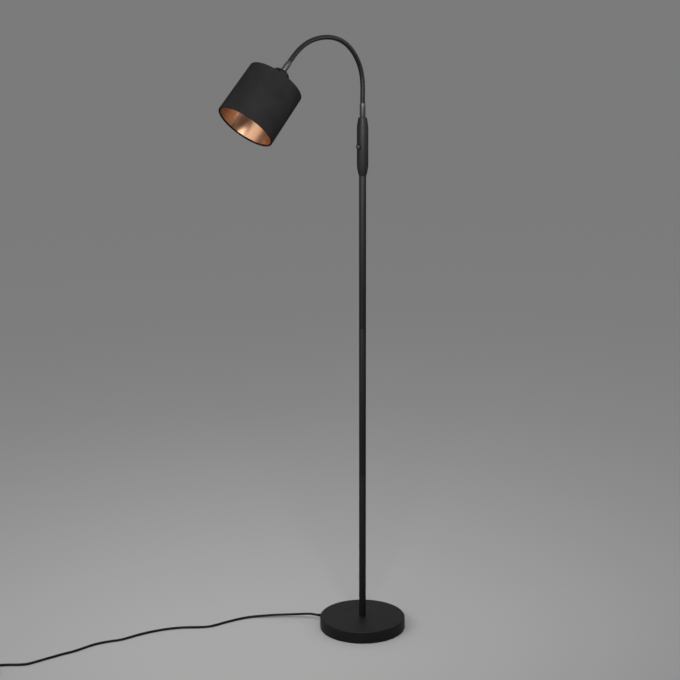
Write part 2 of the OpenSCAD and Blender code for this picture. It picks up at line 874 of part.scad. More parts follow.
module shade_clamp_ring() {
    color("#1a1a1c") at_head(ring_s) difference() {
        union() {
            cylinder(d = clamp_ring_d, h = clamp_ring_h / 3);
            cylinder(d = flange_d, h = clamp_ring_h);
        }
        translate([0, 0, -over]) cylinder(r = skirt_r + fit, h = clamp_ring_h + 2 * over);
    }
}

module wire_ring(r) {
    rotate_extrude() translate([r, 0]) circle(r = wire_r, $fn = 32);
}

module rod_between(a, b, r) {
    way = b - a;
    len = norm(way);
    translate(a) rotate([0, acos(way.z / len), atan2(way.y, way.x)]) cylinder(r = r, h = len, $fn = 32);
}

module spokes(r) {
    hub_reach = clamp_ring_d / 2 + wire_d;
    for (i = [0 : spoke_count - 1]) rotate([0, 0, 360 * i / spoke_count])
        rod_between([hub_reach, 0, hub_t / 2 + hub_drop], [top_ring_r, 0, hem_r], r);
}

// Top ring, spokes and hub of the shade's frame
module shade_frame() {
    color("silver") at_head(shade_s) {
        translate([0, 0, hem_r]) wire_ring(top_ring_r);
        spokes(spoke_r);
        translate([0, 0, hub_drop]) difference() {
            cylinder(r = clamp_ring_d / 2 + 2 * wire_d, h = hub_t);
            translate([0, 0, -over]) cylinder(r = skirt_r + fit, h = hub_t + 2 * over);
        }
    }
}

module shade_bottom_ring() {
    color("silver") at_head(shade_end_s - hem_r) wire_ring(bot_ring_r);
}

// Cone of the shade's wall, inset from its outside by a distance
module shade_cone(inset, from, to) {
    slope = (shade_bot_d - shade_top_d) / 2 / shade_h;
    translate([0, 0, from]) cylinder(
        r1 = shade_top_d / 2 + slope * from - inset,
        r2 = shade_top_d / 2 + slope * to - inset,
        h = to - from);
}

module hem(r) {
    rotate_extrude() translate([r, 0]) circle(r = hem_r, $fn = 48);
}

module hem_bore(r) {
    rotate_extrude() translate([r, 0]) circle(r = wire_r + fit, $fn = 48);
}

module shade_fabric() {
    color("#1b1b1d") at_head(shade_s) difference() {
        union() {
            translate([0, 0, hem_r]) hem(top_ring_r);
            translate([0, 0, shade_h - hem_r]) hem(bot_ring_r);
            difference() {
                shade_cone(0, hem_r, shade_h - hem_r);
                shade_cone(fabric_t, hem_r - over, shade_h - hem_r + over);
            }
        }
        translate([0, 0, hem_r]) hem_bore(top_ring_r);
        translate([0, 0, shade_h - hem_r]) hem_bore(bot_ring_r);
        spokes(spoke_r + fit);
    }
}

module shade_liner() {
    color("peru") at_head(shade_s) difference() {
        shade_cone(fabric_t, hem_d + fit, shade_h - hem_d - fit);
        shade_cone(fabric_t + liner_t, hem_d - over, shade_h - hem_d + over);
    }
}

// Cord
exit_point = heading(exit_azimuth) * (base_r + relief_len) + [0, 0, exit_z];
coil_way = heading(coil_entry + 90);
coil_start = [coil_centre.x, coil_centre.y, 0] + heading(coil_entry) * coil_r;
coil_top = coil_z + coil_step;
run_end = coil_start + [0, 0, coil_z] - coil_way * cord_d;
tail_start = coil_start + [0, 0, coil_top] + coil_way * cord_d;
plug_entry = tail_start + coil_way * tail_len + [0, 0, plug_axis_z - coil_top];

run_path = let (lead = heading(exit_azimuth) * cord_d)
    concat(
        [exit_point],
        spline(concat(
            [exit_point, exit_point + lead], cord_points, [run_end - coil_way * cord_d, run_end]),
            span_steps),
        [run_end]);

module cord_run() {
    color("#161617") swept_tube(run_path, cord_r, cord_sides);
}

// Spiral that winds in on the floor, climbs one layer and winds out again
function climb(t) = let (share = min(max((t - coil_turns / 2) * 2 + 0.5, 0), 1))
    share * share * (3 - 2 * share);
function coil_place(t) =
    let (a = coil_entry + 360 * t, r = coil_r - coil_step * min(t, coil_turns - t))
    [coil_centre.x + r * cos(a), coil_centre.y + r * sin(a), coil_z + coil_step * climb(t)];
coil_wound = [for (k = [0 : coil_turns * loop_rings]) coil_place(k / loop_rings)];
coil_path = concat([run_end], coil_wound, [tail_start]);
coil_gaps = [for (i = [0 : len(coil_wound) - 1]) for (k = [i + loop_rings / 2 : len(coil_wound) - 1])
    norm(coil_wound[i] - coil_wound[k]) - cord_d];
echo(least_gap_in_the_coil_mm = min(coil_gaps));

function path_length(p) = len(p) < 2 ? 0 : [for (i = [1 : len(p) - 1]) norm(p[i] - p[i - 1])]
    * [for (i = [1 : len(p) - 1]) 1];
echo(cord_length_mm = path_length(run_path) + path_length(coil_path) + norm(plug_entry - tail_start));

module cord_coil() {
    color("#161617") swept_tube(coil_path, cord_r, coil_sides);
}

// Last stretch of cord, level where it leaves the coil and where it enters the plug
module cord_tail() {
    from = tail_start + coil_way * tail_level;
    way = plug_entry - coil_way * tail_level - from;
    function tail_place(t) = from + [way.x * t, way.y * t, way.z * t * t * (3 - 2 * t)];
    places = [for (k = [0 : tail_steps]) tail_place(k / tail_steps)];
    color("#161617") swept_tube(concat([tail_start], places, [plug_entry]), cord_r, cord_sides);
}

// Hook-and-loop strap round the coil
module cord_tie() {
    in_w = cord_d + 2 * coil_step + 2 * tie_side_gap;
    in_h = cord_d + coil_step + 2 * tie_gap;
    middle_r = coil_r - coil_step * (1 + tie_turn_share);
    module outline(w, h, r) {
        for (x = [r - w / 2, w / 2 - r], y = [r - h / 2, h / 2 - r])
            translate([x, y]) circle(r = r, $fn = 48);
        square([w - 2 * r, h], center = true);
        square([w, h - 2 * r], center = true);
    }
    color("#161617")
        translate([coil_centre.x, coil_centre.y, coil_z + coil_step / 2])
        rotate([0, 0, coil_entry + 360 * tie_turn_share]) translate([middle_r, tie_w / 2, 0])
        rotate([90, 0, 0]) linear_extrude(tie_w) difference() {
            outline(in_w + 2 * tie_t, in_h + 2 * tie_t, cord_r + tie_gap + tie_t);
            outline(in_w, in_h, cord_r + tie_gap);
        }
}

// Plug, with X running from the cord to the pins
plug_back_w = 18;
plug_edge = 3;
plug_face_edge = 0.6;
relief_end_r = 5;
pin_root = 5;
// Share of the body's length over which it widens
widening_share = 0.55;
section_steps = 6;

module at_plug() {
    translate(plug_entry) rotate([0, 0, coil_entry + 90]) children();
}

module plug_pin_places(at) {
    for (side = [-1, 1]) translate([at, side * pin_spacing / 2, 0]) rotate([0, 90, 0]) children();
}

// One section of the plug: a rectangle of half width w and half height h with rounded corners
function plug_section(x, w, h, r) =
    [for (corner = [0 : 3], k = [0 : section_steps - 1])
        let (a = 90 * (corner + (k + 1 / 2) / section_steps),
             side_y = corner == 0 || corner == 3 ? -1 : 1,
             side_z = corner < 2 ? 1 : -1)
        [x, side_y * (w - r) - r * cos(a), side_z * (h - r) + r * sin(a)]];

// Rounded back of the body, from where the strain relief meets it
function back_section(a) =
    let (inset = plug_edge * (1 - sin(a)), h = plug_t / 2 - inset)
    plug_section(plug_relief + plug_edge * (1 - cos(a)), plug_back_w / 2 - inset, h,
        min(relief_end_r, h));

function widening_section(t) =
    let (from = plug_relief + plug_edge,
         w = plug_back_w / 2 + (plug_w - plug_back_w) / 2 * t * t * (3 - 2 * t))
    plug_section(from + (plug_len * widening_share - plug_edge) * t, w, plug_t / 2,
        relief_end_r + (plug_edge - relief_end_r) * t);

module plug_body() {
    back_angle = asin(1 - (plug_t / 2 - relief_end_r) / plug_edge);
    face = plug_relief + plug_len;
    half_w = plug_w / 2;
    half_t = plug_t / 2;
    sections = concat(
        [plug_section(0, relief_tip_r, relief_tip_r, relief_tip_r)],
        [for (k = [0 : 2]) back_section(back_angle + (90 - back_angle) * k / 3)],
        [for (k = [0 : 4]) widening_section(k / 4)],
        [plug_section(face - plug_face_edge, half_w, half_t, plug_edge)],
        [plug_section(face, half_w - plug_face_edge, half_t - plug_face_edge,
            plug_edge - plug_face_edge)]);
    color("#161617") at_plug() difference() {
        lofted(sections);
        plug_pin_places(face - pin_root - fit)
            cylinder(d = pin_sleeve_d + 2 * thread_gap, h = pin_root + fit + over);
    }
}

module plug_pins() {
    bare_z = pin_root + pin_sleeve;
    color("silver") at_plug() plug_pin_places(plug_relief + plug_len - pin_root) {
        cylinder(d = pin_sleeve_d, h = bare_z);
        translate([0, 0, bare_z]) cylinder(d = pin_d, h = pin_bare);
        translate([0, 0, bare_z + pin_bare]) sphere(d = pin_d);
    }
}

base_pad();
base_plate();
plate_screws();
base_weight();
base_cover();
anchor_rod();
anchor_washer();
anchor_nut();
cord_bushing();
cord_clamp();
clamp_screws();
supply_lead();
pole_foot_bush();
pole_lower();
pole_joiner_1();
pole_middle();
pole_joiner_2();
pole_upper();
grip_bottom_cap();
grip_body();
grip_top_cap();
switch_body();
switch_collar();
switch_button();
neck_ferrule_lower();
neck_locknut();
neck_lead();
neck_link_01();
neck_link_02();
neck_link_03();
neck_link_04();
neck_link_05();
neck_link_06();
neck_link_07();
neck_link_08();
neck_link_09();
neck_link_10();
neck_link_11();
neck_link_12();
neck_ferrule_upper();
holder_cap();
holder_insert();
holder_skirt();
screw_shell();
centre_contact();
shade_clamp_ring();
shade_frame();
shade_bottom_ring();
shade_fabric();
shade_liner();
cord_run();
cord_coil();
cord_tie();
cord_tail();
plug_body();
plug_pins();
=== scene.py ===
# Gooseneck floor lamp: the looks of every surface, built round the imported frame
import json
import math

import bmesh
import bpy
from mathutils import Matrix, Vector


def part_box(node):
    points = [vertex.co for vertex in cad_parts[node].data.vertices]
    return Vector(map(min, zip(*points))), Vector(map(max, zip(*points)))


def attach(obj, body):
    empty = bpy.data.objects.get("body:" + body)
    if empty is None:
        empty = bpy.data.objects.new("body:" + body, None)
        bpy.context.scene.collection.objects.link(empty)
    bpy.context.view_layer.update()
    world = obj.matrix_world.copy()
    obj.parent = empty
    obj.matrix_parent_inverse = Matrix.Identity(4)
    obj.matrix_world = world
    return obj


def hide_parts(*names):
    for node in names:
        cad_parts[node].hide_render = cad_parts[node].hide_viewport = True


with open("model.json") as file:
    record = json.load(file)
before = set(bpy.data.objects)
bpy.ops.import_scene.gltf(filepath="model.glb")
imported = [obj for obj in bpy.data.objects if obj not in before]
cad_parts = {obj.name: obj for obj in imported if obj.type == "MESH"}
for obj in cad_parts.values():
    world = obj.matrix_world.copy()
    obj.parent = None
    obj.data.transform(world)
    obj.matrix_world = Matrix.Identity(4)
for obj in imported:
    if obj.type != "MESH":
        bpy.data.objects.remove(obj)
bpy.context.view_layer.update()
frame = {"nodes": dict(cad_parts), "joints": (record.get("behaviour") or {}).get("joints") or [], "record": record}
mm = 0.001
print("frame: loaded")

# Camera, at the photograph's place and angle
view = {
    "place": (-1.9671, -2.5443, 1.3713),  # metres
    "heading": 36.795,  # degrees, from +Y towards +X
    "tilt": 11.856,  # degrees below level
    "roll": -0.17,  # degrees about the line of sight
    "lens": 76.4, "sensor": 36,  # mm
    "farthest": 100,  # metres
}


def makeCamera():
    data = bpy.data.cameras.new("studioCamera")
    data.lens = view["lens"]
    data.sensor_width = view["sensor"]
    data.clip_end = view["farthest"]
    camera = bpy.data.objects.new("studioCamera", data)
    bpy.context.scene.collection.objects.link(camera)
    camera.location = view["place"]
    turn = Matrix.Rotation(-math.radians(view["heading"]), 4, "Z")
    turn = turn @ Matrix.Rotation(math.radians(90 - view["tilt"]), 4, "X")
    turn = turn @ Matrix.Rotation(math.radians(view["roll"]), 4, "Z")
    camera.rotation_euler = turn.to_euler()
    bpy.context.scene.camera = camera


makeCamera()
print("camera: placed")


# An sRGB hex colour as linear values
def linear(code):
    channels = [int(code[k : k + 2], 16) / 255 for k in (1, 3, 5)]
    return [c / 12.92 if c <= 0.04045 else ((c + 0.055) / 1.055) ** 2.4 for c in channels] + [1]


# Adds a node; a value that is another node's socket is linked
def add(tree, kind, values=(), **settings):
    made = tree.nodes.new("ShaderNode" + kind)
    for name, value in settings.items():
        setattr(made, name, value)
    for socket, value in dict(values).items():
        if isinstance(value, bpy.types.NodeSocket):
            tree.links.new(value, made.inputs[socket])
        else:
            made.inputs[socket].default_value = value
    return made


# New material with the shader's plain values, before any pattern
def startFinish(name, look):
    material = bpy.data.materials.new(name)
    material.use_nodes = True
    tree = material.node_tree
    tree.nodes.clear()
    shader = add(tree, "BsdfPrincipled", {
        "Base Color": linear(look["colour"]),
        "Roughness": look["roughness"],
        "Metallic": look.get("metallic", 0),
        "Specular IOR Level": look.get("specular", 0.5),
    })
    add(tree, "OutputMaterial", {"Surface": shader.outputs[0]})
    return material, tree, shader


usualNoise = {"From Min": 0.3, "From Max": 0.7}  # where nearly all values of a noise lie


# Fine bump from one noise, and a slow drift of colour and roughness from another
def grainedFinish(look):
    material, tree, shader = startFinish(look["name"], look)
    place = add(tree, "TexCoord").outputs["Object"]
    fine = add(tree, "TexNoise", {"Vector": place, "Scale": 1 / (look["grain"] * mm), "Detail": 3})
    bump = add(tree, "Bump", {"Height": fine.outputs[0], "Distance": look["depth"] * mm})
    drift = add(tree, "TexNoise", {
        "Vector": place, "Scale": 1 / (look["drift"] * mm), "Detail": 2,
    }).outputs[0]
    tone = add(tree, "MapRange", {
        "Value": drift, **usualNoise,
        "To Min": look["roughness"] - look["spread"],
        "To Max": look["roughness"] + look["spread"],
    })
    share = add(tree, "MapRange", {"Value": drift, **usualNoise})
    colour = add(tree, "Mix", {
        "Factor": share.outputs[0], "A": linear(look["colour"]), "B": linear(look["secondTone"]),
    }, data_type="RGBA")
    tree.links.new(bump.outputs[0], shader.inputs["Normal"])
    tree.links.new(tone.outputs[0], shader.inputs["Roughness"])
    tree.links.new(colour.outputs["Result"], shader.inputs["Base Color"])
    return material


# Grain, depth and drift are in mm; the second colour is mixed in by the drift, and spread is either way
looks = {
    # polyester powder baked on steel: deep matte black with a fine orange peel
    "powder_coat": {
        "name": "powder coated steel", "colour": "#0d0d0e", "secondTone": "#111112",
        "roughness": 0.54, "spread": 0.04, "grain": 1.1, "depth": 0.03, "drift": 70,
        "specular": 0.15},
    # sand-cast iron, tumbled: dark grey and rough
    "cast_weight": {
        "name": "tumbled cast iron", "colour": "#3a3a3b", "secondTone": "#4b4a48",
        "roughness": 0.75, "spread": 0.1, "grain": 1.6, "depth": 0.25, "drift": 14,
        "metallic": 0.6},
    # zinc plate: pale, slightly blue metal with a soft shine
    "zinc_steel": {
        "name": "zinc plated steel", "colour": "#b4b6b8", "secondTone": "#9c9ea1",
        "roughness": 0.32, "spread": 0.08, "grain": 0.7, "depth": 0.01, "drift": 9,
        "metallic": 1},
    # drawn brass, left bare: yellow with faint brown patches
    "brass": {
        "name": "drawn brass", "colour": "#c9a45c", "secondTone": "#a98346",
        "roughness": 0.28, "spread": 0.08, "grain": 0.8, "depth": 0.01, "drift": 8,
        "metallic": 1},
    # closed-cell foam: dull black with open pores at its cut edge
    "foam_pad": {
        "name": "closed-cell foam", "colour": "#101010", "secondTone": "#181818",
        "roughness": 0.92, "spread": 0.04, "grain": 0.9, "depth": 0.2, "drift": 20,
        "specular": 0.2},
    # extruded vinyl over the wound neck: satin black, a soft line of light along it
    "neck_sleeve": {
        "name": "satin vinyl sleeve", "colour": "#0a0a0b", "secondTone": "#0e0e0f",
        "roughness": 0.36, "spread": 0.03, "grain": 2.5, "depth": 0.002, "drift": 40,
        "specular": 0.16},
    # moulded thermoplastic with a fine spark-eroded texture: near black, hardly shiny
    "black_plastic": {
        "name": "moulded black plastic", "colour": "#070708", "secondTone": "#0b0b0c",
        "roughness": 0.4, "spread": 0.03, "grain": 0.5, "depth": 0.01, "drift": 25,
        "specular": 0.1},
    # ABS with a satin mould finish: dark grey, which sets the button off from its collar
    "switch_plastic": {
        "name": "satin ABS", "colour": "#232324", "secondTone": "#29292a",
        "roughness": 0.4, "spread": 0.04, "grain": 0.4, "depth": 0.008, "drift": 12,
        "specular": 0.3},
    # steatite under a thin clear glaze: warm white and glossy
    "ceramic_insert": {
        "name": "glazed steatite", "colour": "#e6e1d5", "secondTone": "#d8d2c4",
        "roughness": 0.22, "spread": 0.06, "grain": 1.2, "depth": 0.02, "drift": 9},
    # extruded vinyl: black, slightly drawn, with a faint gloss
    "cord_sheath": {
        "name": "vinyl cord sheath", "colour": "#0a0a0b", "secondTone": "#0f0f10",
        "roughness": 0.48, "spread": 0.05, "grain": 1.0, "depth": 0.02, "drift": 30,
        "specular": 0.12},
    # satin black dip coat on wire and turned steel: soft runs
    "frame_wire": {
        "name": "dip coated steel", "colour": "#151516", "secondTone": "#1c1c1d",
        "roughness": 0.48, "spread": 0.06, "grain": 1.4, "depth": 0.04, "drift": 12,
        "specular": 0.4},
}
finishes = {slot: grainedFinish(look) for slot, look in looks.items()}

cloth = {
    # the second colour is a painted sheen on the thread crowns
    "colour": "#0b0b0c", "secondTone": "#1a1a1b", "roughness": 0.95, "specular": 0.07,
    "thread": 0.9,  # mm between threads: about twice the real count, so that they show
    "depth": 0.12, "drift": 35,  # mm
}


# Plain woven black cloth: matte, each thread round and dipping under the next; a painted sheen makes the thread
# crowns lighter and painted shade darkens the dips
def makeCloth():
    material, tree, shader = startFinish("plain woven black cloth", cloth)
    uv = add(tree, "UVMap", uv_map="weave").outputs[0]
    threads = 1 / (cloth["thread"] * mm)
    scaled = add(tree, "VectorMath", {0: uv, "Scale": threads}, operation="SCALE").outputs[0]
    parts = add(tree, "SeparateXYZ", {0: scaled})
    rises = []
    for axis in (0, 1):
        turn = add(tree, "Math", {0: parts.outputs[axis], 1: math.pi}, operation="MULTIPLY")
        wave = add(tree, "Math", {0: turn.outputs[0]}, operation="SINE")
        rises.append(add(tree, "Math", {0: wave.outputs[0]}, operation="ABSOLUTE").outputs[0])
    over = add(tree, "TexChecker", {"Vector": scaled, "Scale": 1}).outputs["Fac"]
    height = add(tree, "Mix", {"Factor": over, "A": rises[0], "B": rises[1]}).outputs["Result"]
    bump = add(tree, "Bump", {"Height": height, "Distance": cloth["depth"] * mm})
    place = add(tree, "TexCoord").outputs["Object"]
    drift = add(tree, "TexNoise", {
        "Vector": place, "Scale": 1 / (cloth["drift"] * mm), "Detail": 6,
    })
    # painted sheen and shade: the colour follows the thread height, lighter on the crowns and darker in the dips,
    # in random patches
    secondTone = add(tree, "Math", {0: height, 1: drift.outputs[0]}, operation="MULTIPLY")
    colour = add(tree, "Mix", {
        "Factor": secondTone.outputs[0], "A": linear(cloth["colour"]), "B": linear(cloth["secondTone"]),
    }, data_type="RGBA")
    tree.links.new(bump.outputs[0], shader.inputs["Normal"])
    tree.links.new(colour.outputs["Result"], shader.inputs["Base Color"])
    return material


foil = {
    "colour": "#ddb495", "secondTone": "#cc9c78", "roughness": 0.42, "metallic": 1,
    "brushed": 0.9, "brushTurn": 0.25,  # anisotropy, and its turn in whole turns
    # fine lines round the shade and slow waves from the glue, in mm, with the scale along each
    "grain": 0.9, "depth": 0.01, "lineStretch": 0.04,
    "ripple": 26, "rippleDepth": 0.5, "waveStretch": 0.12,
    # mm round the shade to where the foil laps over itself, and a painted shadow line along the lap: its half
    # width in mm, its colour and how dark it is
    "lapAt": 110, "lapLine": 1.6, "lapShadow": "#5f3a22", "lapShadowShare": 0.8,
}


# Rose copper foil, brushed round its roll: a lamp shows in it as bright bands along the shade; a painted shadow
# line runs along its lap
def makeFoil():
    material, tree, shader = startFinish("rose copper foil", foil)
    shader.inputs["Anisotropic"].default_value = foil["brushed"]
    shader.inputs["Anisotropic Rotation"].default_value = foil["brushTurn"]
    tangent = add(tree, "Tangent", direction_type="UV_MAP", uv_map="weave")
    tree.links.new(tangent.outputs[0], shader.inputs["Tangent"])
    uv = add(tree, "UVMap", uv_map="weave").outputs[0]
    lines = add(tree, "Mapping", {"Vector": uv, "Scale": (foil["lineStretch"], 1, 1)})
    brushed = add(tree, "TexNoise", {
        "Vector": lines.outputs[0], "Scale": 1 / (foil["grain"] * mm), "Detail": 3,
    }).outputs[0]
    waves = add(tree, "Mapping", {"Vector": uv, "Scale": (1, foil["waveStretch"], 1)})
    ripple = add(tree, "TexNoise", {
        "Vector": waves.outputs[0], "Scale": 1 / (foil["ripple"] * mm), "Detail": 1,
    }).outputs[0]
    wavy = add(tree, "Bump", {"Height": ripple, "Distance": foil["rippleDepth"] * mm})
    bump = add(tree, "Bump", {
        "Height": brushed, "Distance": foil["depth"] * mm, "Normal": wavy.outputs[0],
    })
    tone = add(tree, "Mix", {
        "Factor": brushed, "A": linear(foil["colour"]), "B": linear(foil["secondTone"]),
    }, data_type="RGBA").outputs["Result"]
    # painted shadow: a dark line along the lap's edge, fading out to either side
    across = add(tree, "SeparateXYZ", {0: uv}).outputs[0]
    away = add(tree, "Math", {0: across, 1: foil["lapAt"] * mm}, operation="SUBTRACT").outputs[0]
    away = add(tree, "Math", {0: away}, operation="ABSOLUTE").outputs[0]
    line = add(tree, "MapRange", {
        "Value": away, "From Max": foil["lapLine"] * mm, "To Min": foil["lapShadowShare"], "To Max": 0,
    }).outputs[0]
    colour = add(tree, "Mix", {
        "Factor": line, "A": tone, "B": linear(foil["lapShadow"]),
    }, data_type="RGBA")
    tree.links.new(bump.outputs[0], shader.inputs["Normal"])
    tree.links.new(colour.outputs["Result"], shader.inputs["Base Color"])
    return material


finishes["shade_cloth"] = makeCloth()
finishes["foil_lining"] = makeFoil()
print("finishes: made")

smoothBelow = 35  # degrees between faces, past which an edge shows as sharp


# Makes a mesh a finished piece, which rides on a body and stands for its nodes
def piece(mesh, name, body, slot, stands=(), place=None):
    if place:
        bmesh.ops.transform(mesh, matrix=place, verts=mesh.verts)
    data = bpy.data.meshes.new(name)
    mesh.to_mesh(data)
    mesh.free()
    data.shade_smooth()
    data.set_sharp_from_angle(angle=math.radians(smoothBelow))
    data.materials.append(finishes[slot])
    made = bpy.data.objects.new(name, data)
    bpy.context.scene.collection.objects.link(made)
    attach(made, body)
    if stands:
        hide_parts(*stands)
    return made


# Moves another mesh's faces into this one
def merge(mesh, other):
    data = bpy.data.meshes.new("part")
    other.to_mesh(data)
    other.free()
    mesh.from_mesh(data)
    bpy.data.meshes.remove(data)


# Rounds edges, or the corners of an outline, by a size in mm
def rounded(mesh, parts, size, segments, kind="EDGES"):
    bmesh.ops.bevel(
        mesh, geom=parts, offset=size * mm, offset_type="OFFSET", segments=segments,
        profile=0.5, affect=kind, material=-1, clamp_overlap=kind == "EDGES")


# Rounds the edges that are sharper than an angle in degrees
def soften(mesh, width, segments=3, sharper=40):
    sharp = [e for e in mesh.edges if math.degrees(e.calc_face_angle(0)) > sharper]
    rounded(mesh, sharp, width, segments)


# Outline of (radius, height) or (radius, height, rounding) points in mm, turned round Z;
# with ring=False it starts and ends on the axis
def turned(outline, steps=96, ring=True, arcs=5, mesh=None, angle=360):
    mesh = mesh or bmesh.new()
    before = set(mesh.verts)
    corners = [mesh.verts.new((p[0] * mm, 0, p[1] * mm)) for p in outline]
    for pair in zip(corners, corners[1:]):
        mesh.edges.new(pair)
    if ring:
        mesh.edges.new((corners[-1], corners[0]))
    for corner, size in [(c, p[2]) for c, p in zip(corners, outline) if len(p) > 2]:
        rounded(mesh, [corner], size, arcs, "VERTICES")
    wire = [v for v in mesh.verts if v not in before]
    edges = [e for e in mesh.edges if e.verts[0] in wire]
    bmesh.ops.spin(
        mesh, geom=wire + edges, cent=(0, 0, 0), axis=(0, 0, 1), angle=math.radians(angle),
        steps=steps, use_merge=angle == 360)
    bmesh.ops.remove_doubles(mesh, verts=mesh.verts, dist=0.001 * mm)
    bmesh.ops.recalc_face_normals(mesh, faces=mesh.faces)
    return mesh


# Turns +Z to +X, for pieces turned about a level axis
outwards = Matrix.Rotation(math.radians(90), 4, "Y")


# Frame of a level axis: its azimuth in degrees, and its height and start in mm
def level(azimuth, height, reach=0):
    return (
        Matrix.Rotation(math.radians(azimuth), 4, "Z")
        @ Matrix.Translation((reach * mm, 0, height * mm)) @ outwards)


def heading(azimuth):
    return Vector((math.cos(math.radians(azimuth)), math.sin(math.radians(azimuth)), 0))


# Goes from 0 to 1 with a soft start and end
def ease(t):
    return t * t * (3 - 2 * t)


# Box of a node in mm
def boxOf(node):
    low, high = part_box(node)
    return low / mm, high / mm


# Mains cord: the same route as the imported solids; angles in degrees, the rest in mm
cord = {
    "length": 1.8,  # metres
    "diameter": 5.5, "azimuth": 122, "exitHeight": 13, "exitReach": 114, "inside": 10,
    "places": [
        (-73, 115, 13.1), (-95, 139, 9.6), (-116, 157.5, 7.8), (-134, 171, 7), (-156, 187, 5.3),
        (-180, 202.5, 3.6), (-208, 210.5, 2.95), (-243, 213.4, 2.95), (-276, 214, 2.95),
        (-294, 216.5, 2.95), (-314, 227, 2.95), (-340, 245, 2.95), (-367, 258.5, 2.95),
        (-400, 268.6, 2.95), (-437, 274, 2.95), (-469, 274.4, 2.95), (-495, 274.2, 2.95),
        (-521, 281.5, 2.95), (-541, 286, 2.95), (-563, 287.4, 2.95), (-588, 284.6, 2.95),
        (-614, 282, 2.95), (-648, 283.3, 2.95), (-706, 282.4, 2.95), (-727, 283, 2.95),
        (-743, 290, 2.95), (-770, 309, 3)],
    "coilCentre": (-835, 300), "coilEntry": 53, "coilRadius": 38, "coilStep": 6,
    "coilHeight": 3.8, "turns": 5,
    "tail": 24, "tailFlat": 3, "plugHeight": 7,
    "spanSteps": 8, "turnSteps": 48, "tailSteps": 8, "roundness": 5,  # how finely it is drawn
}


# The turns run inwards on the floor, climb in mid-coil and run outwards on top
def coilPlace(t):
    share = min(max((t - cord["turns"] / 2) * 2 + 0.5, 0), 1)
    radius = cord["coilRadius"] - cord["coilStep"] * min(t, cord["turns"] - t)
    rise = cord["coilHeight"] + cord["coilStep"] * ease(share)
    return Vector((*cord["coilCentre"], rise)) + heading(cord["coilEntry"] + 360 * t) * radius


# Smooth curve through points, with steps on each span
def smoothed(points, steps):
    found = []
    for a, b, c, d in zip(points, points[1:], points[2:], points[3:]):
        for k in range(steps):
            t = k / steps
            found.append((
                2 * b + (c - a) * t + (2 * a - 5 * b + 4 * c - d) * t * t
                + (3 * b - a - 3 * c + d) * t**3) / 2)
    return found + [points[-2]]


# Points in mm from inside the base to inside the plug, and the places where it leaves and enters
def cordRoute():
    out = heading(cord["azimuth"])
    exitPlace = out * cord["exitReach"] + Vector((0, 0, cord["exitHeight"]))
    way = heading(cord["coilEntry"] + 90)
    coilStart, coilEnd = coilPlace(0), coilPlace(cord["turns"])
    runEnd = coilStart - way * cord["diameter"]
    free = [exitPlace - out * cord["inside"], exitPlace, exitPlace + out * cord["diameter"]]
    free += [Vector(p) for p in cord["places"]] + [runEnd - way * cord["diameter"], runEnd]
    run = smoothed([free[0] - out, *free, coilStart], cord["spanSteps"])
    count = cord["turns"] * cord["turnSteps"]
    wound = [coilPlace(k / cord["turnSteps"]) for k in range(count + 1)]
    tailStart = coilEnd + way * cord["diameter"]
    plugEntry = tailStart + way * cord["tail"]
    plugEntry.z = cord["plugHeight"]
    tail, flat = [], cord["tailFlat"]
    for k in range(1, cord["tailSteps"] + 1):
        share = k / cord["tailSteps"]
        place = tailStart.lerp(plugEntry, share)
        share = min(max((share * cord["tail"] - flat) / (cord["tail"] - 2 * flat), 0), 1)
        place.z = tailStart.z + (plugEntry.z - tailStart.z) * ease(share)
        tail.append(place)
    inner = plugEntry + way * cord["inside"]
    return [*run, *wound, tailStart, *tail, inner], exitPlace, plugEntry


def makeCord():
    route, exitPlace, plugEntry = cordRoute()
    curve = bpy.data.curves.new("mainsCord", "CURVE")
    curve.dimensions = "3D"
    curve.bevel_depth = cord["diameter"] / 2 * mm
    curve.bevel_resolution = cord["roundness"]
    curve.use_fill_caps = True
    spline = curve.splines.new("POLY")
    spline.points.add(len(route) - 1)
    for point, place in zip(spline.points, route):
        point.co = (*(place * mm), 1)
    curve.materials.append(finishes["cord_sheath"])
    made = bpy.data.objects.new("mainsCord", curve)
    bpy.context.scene.collection.objects.link(made)
    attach(made, "stand")
    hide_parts("cord_run", "cord_coil", "cord_tail")
    return made, exitPlace, plugEntry


cordPiece, cordExit, plugEntry = makeCord()

# Grooves of a strain relief; from and to are shares of one rib's length, the rest in mm
groove = {"from": 0.45, "to": 0.75, "depth": 0.55, "slope": 0.1, "edge": 0.2, "tipEdge": 0.4}


# Strain relief round the cord, from its tip at 0 to its end
def ribbedCone(length, tip, end, ribs):
    bore = cord["diameter"] / 2
    outline = [(bore, 0), (tip, 0, groove["tipEdge"])]
    for k in range(ribs):
        low, high = ((k + groove[side]) / ribs * length for side in ("from", "to"))
        radius = tip + (end - tip) * (k + (groove["from"] + groove["to"]) / 2) / ribs
        deep = radius - groove["depth"]
        outline += [(radius, low, groove["edge"]), (deep, low + groove["slope"]),
                    (deep, high - groove["slope"]), (radius, high, groove["edge"])]
    outline += [(end, length), (bore, length)]
    return turned(outline, steps=48, arcs=2)


# Flat two-pin plug, with its strain relief, in mm
plug = {
    "relief": 24, "reliefTip": 3.6, "reliefEnd": 5, "reliefLap": 1, "ribs": 5,
    "length": 35, "width": 26, "backWidth": 18, "thickness": 13.6, "edge": 3,
    "widening": 0.6, "cuts": 5,  # share of the length that widens, and its cuts
    "pinSpacing": 19, "sleevePin": 3.5, "sleeve": 10, "sleeveRoot": 2,
    "pin": 4, "bare": 9, "pinRoot": 1, "pinTip": 1.9,
}


